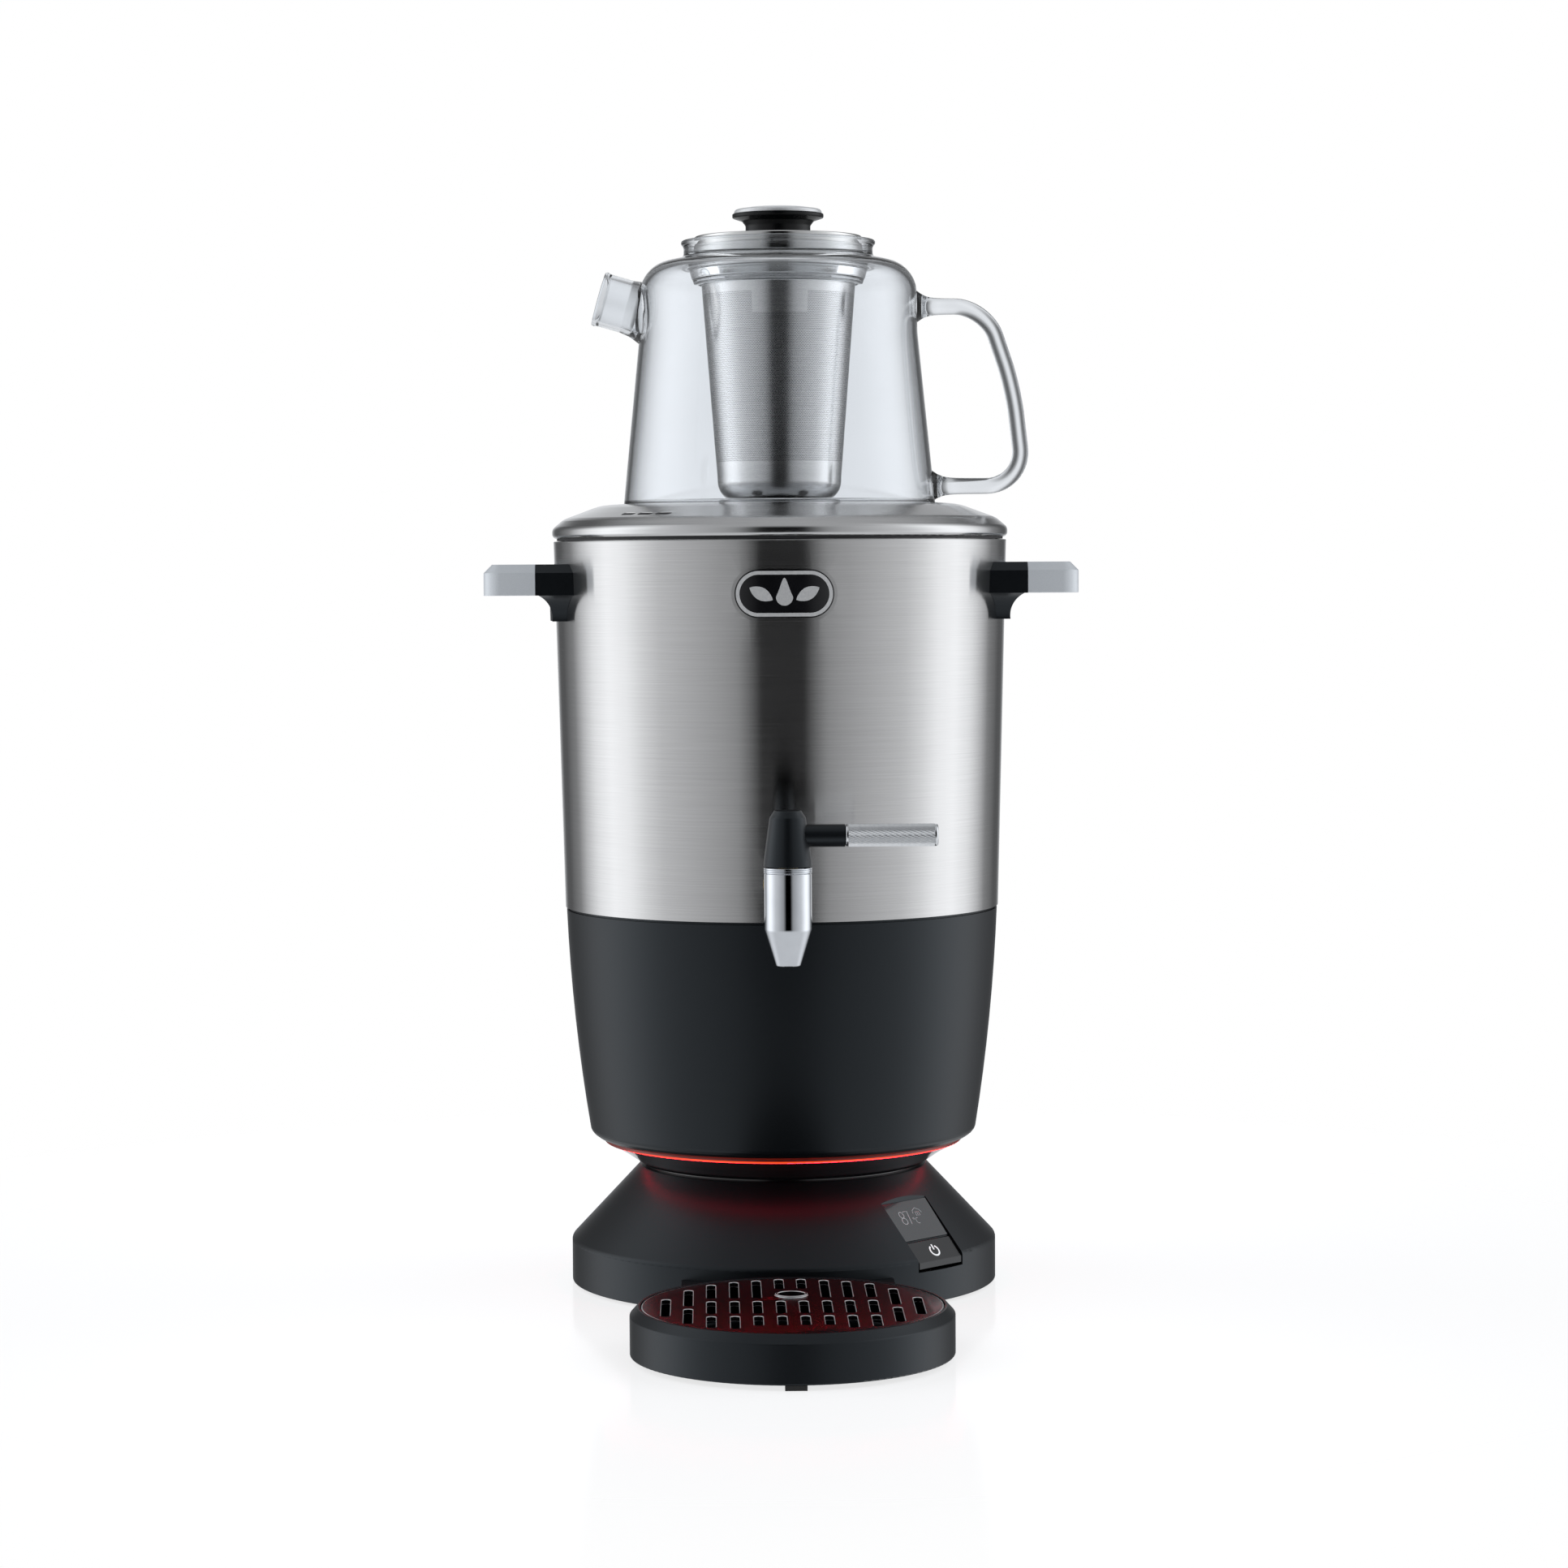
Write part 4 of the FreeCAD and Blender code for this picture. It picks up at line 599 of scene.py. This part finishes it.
# ---- tap ------------------------------------------------------------------------------------
# A chromed brass body hangs on a shank through both walls. Its plug turns with a black cap; the
# lever screws into the cap and carries a steel sleeve with a fine diagonal knurl.
def bent_line(shape, outline, segments):
    """Edges in the XZ plane through (x, z[, corner radius]) in millimetres."""
    corners = [Vector((p[0] * MM, 0, p[1] * MM)) for p in outline]
    verts = [shape.verts.new(c) for c in corners]
    for first, second in zip(verts, verts[1:]):
        shape.edges.new((first, second))
    for i, point in enumerate(outline):
        if len(point) < 3:
            continue
        half = (corners[i - 1] - corners[i]).angle(corners[i + 1] - corners[i]) / 2
        bmesh.ops.bevel(shape, geom=[verts[i]], offset=point[2] * MM / tan(half),
                        offset_type="ABSOLUTE", segments=segments, profile=0.5,
                        affect="VERTICES", material=-1, clamp_overlap=False)


def lathe(outline, steps):
    """Spin an outline of (radius, height[, corner radius]) in millimetres about the Z axis."""
    shape = bmesh.new()
    bent_line(shape, outline, 7)
    bmesh.ops.spin(shape, geom=shape.verts[:] + shape.edges[:], cent=(0, 0, 0), axis=(0, 0, 1),
                   dvec=(0, 0, 0), angle=2 * pi, steps=steps, use_merge=True)
    bmesh.ops.remove_doubles(shape, verts=shape.verts, dist=WELD / 10)
    bmesh.ops.recalc_face_normals(shape, faces=shape.faces)
    return shape


def absorb(shape, part):
    """Put one bmesh into another, and free it."""
    mesh = bpy.data.meshes.new("part")
    part.to_mesh(mesh)
    part.free()
    shape.from_mesh(mesh)
    bpy.data.meshes.remove(mesh)


def lever_sleeve():
    """A rod of many small ridges that turn as it grows, with plain rounded ends."""
    ridges, twist, steps, radius, depth = 30, 3.0, 60, 5.05, 0.34
    bead, bead_r, bead_round = 1.6 * MM, radius - 0.08, 1.0
    low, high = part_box("lever_grip")
    length = high[0] - low[0]
    shape = bmesh.new()
    bmesh.ops.create_circle(shape, cap_ends=False, segments=ridges * 4, radius=radius * MM)
    shape.verts.ensure_lookup_table()
    for k, v in enumerate(shape.verts):
        v.co *= 1 - depth / radius * (0.5 + 0.5 * cos(pi * (k % 4) / 2))
    edges = list(shape.edges)
    run = length - 2 * bead
    for step in range(steps):
        grown = bmesh.ops.extrude_edge_only(shape, edges=edges)["geom"]
        edges = [g for g in grown if isinstance(g, bmesh.types.BMEdge)]
        bmesh.ops.translate(shape, vec=(0, 0, run / steps), verts=verts_of(grown))
        bmesh.ops.rotate(shape, cent=(0, 0, 0), verts=verts_of(grown),
                         matrix=Matrix.Rotation(twist / steps, 3, "Z"))
    bmesh.ops.translate(shape, vec=(0, 0, bead), verts=shape.verts)
    for start, way in ((bead, -1), (length - bead, 1)):
        foot, tip = start / MM, (start + way * bead) / MM
        absorb(shape, lathe([(radius - depth, foot), (bead_r, foot + way * 0.1, 0.05),
                             (bead_r, tip, bead_round), (0, tip)], steps=64))
    place = Matrix.Translation((low[0], (low[1] + high[1]) / 2, (low[2] + high[2]) / 2))
    bmesh.ops.transform(shape, matrix=place @ Matrix.Rotation(pi / 2, 4, "Y"), verts=shape.verts)
    return shape


turned_brass = finish("turned_brass", (0.46, 0.33, 0.14), (0.66, 0.50, 0.24), (0.2, 0.34),
                      (200, 200, 1500), bump=0.01, metallic=1.0)
# This dark silicone also serves as the painted shade inside the lid's vents.
silicone = finish("grey_silicone", (0.016, 0.016, 0.018), (0.03, 0.03, 0.033), (0.5, 0.65),
                  (500, 500, 500), bump=0.01)
knurled_steel = finish("knurled_steel", (0.70, 0.72, 0.74), (0.86, 0.87, 0.88), (0.16, 0.26),
                       (900, 900, 900), bump=0.003, metallic=1.0)
dress(turned_brass, "tap_shank", "valve_plug")
dress(silicone, "tap_gaskets")
dress(zinc_plate, "tap_nut")
dress(bright_chrome, "tap_body", "tap_ring")
dress(black_plastic, "tap_cap", "lever_stub")
piece("lever_sleeve", lever_sleeve(), knurled_steel, "tap_handle", ("lever_grip",),
      sharp=50)


# ---- tank lid -------------------------------------------------------------------------------
# A domed lid spun from stainless sheet, with a rolled edge, a seat for the teapot, steam holes
# under it and three vents at the front. A silicone seal sits under the edge.
lid_steel = brushed("spun_lid_steel", (0.57, 0.57, 0.57), (0.63, 0.63, 0.625), (0.15, 0.21),
                    (26, 26, 1200), 0.0006)
dress(lid_steel, "tank_lid")
VENT_R = 98.5
VENT_AZIMUTHS = (-46.2, -40.0, -33.8)
VENT_LENGTH = 8.5
VENT_WIDTH = 3.0
VENT_SLOPE = radians(20.4)
SHADE_PLUG_LOW_Z = 367.5
SHADE_PLUG_THICK = 1.4
SHADE_PLUG_GAP = 0.05


def vent_shade_plugs():
    """Dark rounded shapes in the three vents, just under the lid's surface: painted shade in the
    openings.
    """
    plugs = bmesh.new()
    for azimuth in VENT_AZIMUTHS:
        plug = bmesh.new()
        bmesh.ops.create_circle(plug, cap_ends=True, segments=32,
                                radius=(VENT_WIDTH / 2 - SHADE_PLUG_GAP) * MM)
        for v in plug.verts:
            v.co.x += (VENT_LENGTH - VENT_WIDTH) / 2 * MM * (1 if v.co.x > 0 else -1)
        rim = bmesh.ops.extrude_face_region(plug, geom=plug.faces[:])["geom"]
        bmesh.ops.translate(plug, vec=(0, 0, SHADE_PLUG_THICK * MM), verts=verts_of(rim))
        for v in plug.verts:
            v.co.z += v.co.y * tan(VENT_SLOPE)
        place = Matrix.Translation((0, -VENT_R * MM, SHADE_PLUG_LOW_Z * MM))
        turn = Matrix.Rotation(radians(azimuth), 4, "Z")
        bmesh.ops.transform(plug, matrix=turn @ place, verts=plug.verts)
        absorb(plugs, plug)
    return plugs


# The vents are filled with dark silicone as painted shade.
piece("vent_shade_plugs", vent_shade_plugs(), silicone, "tank_lid")
dress(silicone, "lid_seal")


# ---- teapot ---------------------------------------------------------------------------------
# Blown borosilicate glass: a tapering body with a round shoulder, an open neck with a ledge for
# the infuser, a short spout and a bent rod handle, all fused into one piece while hot.
POT_LOW = 371.2
POT_FLOOR = 373.8
POT_TOP = 499.5
POT_OUTSIDE = [(0, POT_LOW), (74.9, POT_LOW, 3), (66.4, 456, 40), (65.9, 487.2, 15),
               (45.2, 491.6, 2.5), (45.2, 496.2, 1.5), (46.4, 498, 0.6), (46.4, POT_TOP, 0.8),
               (0, POT_TOP)]
POT_INSIDE = [(0, POT_FLOOR), (72.7, POT_FLOOR, 2), (64.2, 455.5, 38), (63.7, 484.9, 12.5),
              (43.4, 489.4, 1.5), (40.2, 478.9, 0.8), (38.2, 478.6, 0.4), (38.0, 480.3, 0.3),
              (41.5, 482.45, 1), (42.8, 487.5, 2), (43.0, 496.5, 2), (43.9, POT_TOP, 0.8),
              (46, 503), (0, 503)]
SPOUT_R = 12.75
SPOUT_TILT = radians(16.2)
SPOUT_MOUTH = Vector((-85.9, 0, 472.5)) * MM
SPOUT_OUTSIDE = [(0, -30), (16.4, -30), (16.0, -25.5), (13.6, -19.5, 6), (SPOUT_R, -14, 6),
                 (SPOUT_R, -3.2, 2), (SPOUT_R + 0.5, -1.2, 0.8), (SPOUT_R + 0.2, 0, 0.3), (0, 0)]
BORE_R = SPOUT_R - 2.2
SPOUT_BORE = [(0, -46), (BORE_R, -46), (BORE_R, 6), (0, 6)]
ROD_R = 3.9
ROD_LINE = [(60, 468), (99, 468, 21), (112.2, 429, 120), (117.6, 382.3, 16.5), (64, 382.3)]
LONGEST_STEP = 8
ROD_MIDDLE_Z = 430
ROD_ENDS_R = (66.5, 73.5)
SWELLING_REACH = 3.2


def spout_turn():
    """From an upright spout with its mouth at height 0 to its place on the pot."""
    return Matrix.Translation(SPOUT_MOUTH) @ Matrix.Rotation(SPOUT_TILT - pi / 2, 4, "Y")


def glass_rod():
    """The handle's bent rod, swollen to twice its radius where it is fused to the wall."""
    wire = bmesh.new()
    bent_line(wire, ROD_LINE, 16)
    straight = [e for e in wire.edges if e.calc_length() > LONGEST_STEP * MM]
    bmesh.ops.subdivide_edges(wire, edges=straight, cuts=11)
    start = max((v for v in wire.verts if len(v.link_edges) == 1), key=lambda v: v.co.z)
    path, edge = [start], start.link_edges[0]
    while edge:
        path.append(edge.other_vert(path[-1]))
        onward = [e for e in path[-1].link_edges if e is not edge]
        edge = onward[0] if onward else None
    line = [v.co.copy() for v in path]
    wire.free()
    curve = bpy.data.curves.new("rod", "CURVE")
    curve.dimensions = "3D"
    curve.bevel_depth = ROD_R * MM
    curve.bevel_resolution = 7
    curve.use_fill_caps = True
    spline = curve.splines.new("POLY")
    spline.points.add(len(line) - 1)
    for point, co in zip(spline.points, line):
        wall = ROD_ENDS_R[0] if co.z > ROD_MIDDLE_Z * MM else ROD_ENDS_R[1]
        point.co = (*co, 1)
        point.radius = 1 + exp(-max(0.0, co.x / MM - wall) / SWELLING_REACH)
    holder = bpy.data.objects.new("rod", curve)
    mesh = bpy.data.meshes.new_from_object(holder)
    bpy.data.objects.remove(holder)
    shape = bmesh.new()
    shape.from_mesh(mesh)
    bpy.data.meshes.remove(mesh)
    bmesh.ops.remove_doubles(shape, verts=shape.verts, dist=1e-6)
    bmesh.ops.recalc_face_normals(shape, faces=shape.faces)
    return shape


def loose(name, shape):
    """A helper object for a boolean; it is removed once it has been used."""
    mesh = bpy.data.meshes.new(name)
    shape.to_mesh(mesh)
    shape.free()
    made = bpy.data.objects.new(name, mesh)
    bpy.context.scene.collection.objects.link(made)
    return made


def combined(base, tools):
    """Apply one boolean after another: tools are (operation, object)."""
    for operation, tool in tools:
        step = base.modifiers.new("join", "BOOLEAN")
        step.operation = operation
        step.solver = "EXACT"
        step.object = tool
    bpy.context.view_layer.update()
    seen = base.evaluated_get(bpy.context.evaluated_depsgraph_get())
    shape = bmesh.new()
    shape.from_mesh(seen.to_mesh())
    seen.to_mesh_clear()
    for spent in [base] + [tool for _, tool in tools]:
        bpy.data.objects.remove(spent)
    return shape


def glass_pot():
    """The blown body, spout and rod made one, then hollowed and bored."""
    pot = loose("pot", lathe(POT_OUTSIDE, steps=160))
    inside = loose("inside", lathe(POT_INSIDE, steps=160))
    spout, bore = lathe(SPOUT_OUTSIDE, steps=96), lathe(SPOUT_BORE, steps=96)
    for tube in (spout, bore):
        bmesh.ops.transform(tube, matrix=spout_turn(), verts=tube.verts)
    return combined(pot, [("UNION", loose("spout", spout)), ("UNION", loose("rod", glass_rod())),
                          ("DIFFERENCE", inside), ("DIFFERENCE", loose("bore", bore))])


def glass_finish():
    """Clear glass with a breath of grey and the slight waviness of blown ware."""
    return finish("clear_glass", (0.91, 0.925, 0.94), (0.93, 0.945, 0.96), (0.0, 0.012),
                  (30, 30, 30), bump=0.02, detail=1.0, Transmission_Weight=1.0, IOR=1.47)


piece("glass_pot", glass_pot(), glass_finish(), "teapot",
      ("teapot_body", "teapot_floor", "teapot_spout", "teapot_handle"), sharp=40)


# ---- infuser --------------------------------------------------------------------------------
# A thin steel basket etched with rows of half-millimetre holes, welded to a drawn bottom cup and
# to a turned collar that hangs on the ledge in the pot's neck.
BASKET_R = 33.0
HOLE_PITCH = 0.78
ROW_STEP = 1.732
HOLE_R = 0.29
HOLES_LOW = 394.0
HOLES_HIGH = 474.0
PATCH_LOW = 463.7
PATCH_TURN = 0.37


def perforated_finish():
    """Holes in staggered rows round the basket, with a plain patch at the front.

    ROW_STEP and HOLE_R are shares of the pitch. The patch reaches PATCH_TURN radians each way.
    """
    paint = brushed("perforated_steel", (0.80, 0.795, 0.79), (0.85, 0.845, 0.84), (0.20, 0.26),
                    (60, 60, 1500), 0.0002, anisotropic=0.5)
    tree = paint.node_tree
    shader = tree.nodes["Principled BSDF"]
    tone = shader.inputs["Base Color"].links[0].from_socket
    x, y, z = add(tree, "SeparateXYZ", {0: add(tree, "TexCoord").outputs["Object"]}).outputs
    turn = calc(tree, "ARCTAN2", x, calc(tree, "MULTIPLY", y, -1.0))
    around = calc(tree, "MULTIPLY", turn, BASKET_R / HOLE_PITCH)
    rows = calc(tree, "MULTIPLY", z, 1 / (HOLE_PITCH * MM * ROW_STEP))
    near = []
    for shift in (0.0, 0.5):
        cell = add(tree, "CombineXYZ", {0: calc(tree, "ADD", around, shift),
                                        1: calc(tree, "ADD", rows, shift), 2: 0.0})
        part = add(tree, "VectorMath", {0: cell.outputs[0]}, operation="FRACTION")
        middle = add(tree, "VectorMath", {0: part.outputs[0], 1: (0.5, 0.5, 0.0)},
                     operation="SUBTRACT")
        scaled = add(tree, "VectorMath", {0: middle.outputs[0], 1: (1.0, ROW_STEP, 0.0)},
                     operation="MULTIPLY")
        reach = add(tree, "VectorMath", {0: scaled.outputs[0]}, operation="LENGTH")
        near.append(reach.outputs["Value"])
    hole = calc(tree, "LESS_THAN", calc(tree, "MINIMUM", near[0], near[1]), HOLE_R)
    above = calc(tree, "GREATER_THAN", z, HOLES_LOW * MM)
    below = calc(tree, "LESS_THAN", z, HOLES_HIGH * MM)
    patch_side = calc(tree, "GREATER_THAN", calc(tree, "ABSOLUTE", turn), PATCH_TURN)
    patch_low = calc(tree, "LESS_THAN", z, PATCH_LOW * MM)
    open_area = calc(tree, "MULTIPLY", calc(tree, "MULTIPLY", above, below),
                     calc(tree, "MAXIMUM", patch_side, patch_low))
    hole = calc(tree, "MULTIPLY", hole, open_area)
    colour = add(tree, "Mix", {0: hole, 6: tone, 7: (0.30, 0.30, 0.31, 1)}, data_type="RGBA")
    tree.links.new(colour.outputs[2], shader.inputs["Base Color"])
    return paint


collar_steel = brushed("turned_steel", (0.63, 0.63, 0.62), (0.70, 0.70, 0.69), (0.14, 0.19),
                       (60, 60, 2600), 0.0003)
dress(perforated_finish(), "infuser_basket")
dress(collar_steel, "infuser_collar")


# ---- teapot lid and knob --------------------------------------------------------------------
# A pressed steel lid drops into the collar. Its black knob has a waisted neck and a polished
# steel disc on top, held by one screw from below.
dress(collar_steel, "teapot_lid")
dress(finish("dark_knob_plastic", (0.002, 0.0022, 0.0026), (0.003, 0.0034, 0.004), (0.26, 0.32),
             (900, 900, 900), bump=0.002, Specular_IOR_Level=0.25), "knob_stem")
dress(finish("brushed_disc_steel", (0.80, 0.81, 0.82), (0.88, 0.89, 0.90), (0.30, 0.38),
             (900, 900, 900), bump=0.001, metallic=0.35), "knob_cap")
dress(zinc_plate, "knob_screw")


# ---- drip tray ------------------------------------------------------------------------------
# A round black basin whose tongue slides into the base. The grille is a dark polished steel
# disc with punched slots; its slot edges and rim are coloured bright as a painted highlight.
TRAY_Y = -195.7
RIM_R = 65.3
SLOT_EDGE = 0.3
# Its colour leans a little to crimson: painted reflection of the red light ring.
dark_steel_painted_red = finish("dark_polished_steel_painted_red", (0.060, 0.050, 0.056), (0.072, 0.060, 0.067),
                    (0.24, 0.27), (300, 300, 300), metallic=1.0)
edge_painted_highlight = finish("steel_edge_painted_highlight", (0.70, 0.71, 0.72), (0.82, 0.83, 0.84), (0.3, 0.4),
                     (900, 900, 900), bump=0.001, metallic=0.5)
dress(black_plastic, "drip_tray")
dress(rubber, "tray_feet")
grille = softened("drip_grille", dark_steel_painted_red, "drip_grille", SLOT_EDGE, segments=2,
                  angle=80, weld=0.02 * MM, clamp=False)
# The bevel faces round the slots take the bright colour: a painted highlight.
grille.data.materials.append(edge_painted_highlight)
grille.modifiers["edges"].material = 1
# Faces beyond RIM_R, on the rim, take the same painted highlight.
middle = Vector((0, TRAY_Y * MM))
for side in grille.data.polygons:
    if (side.center.xy - middle).length > RIM_R * MM:
        side.material_index = 1
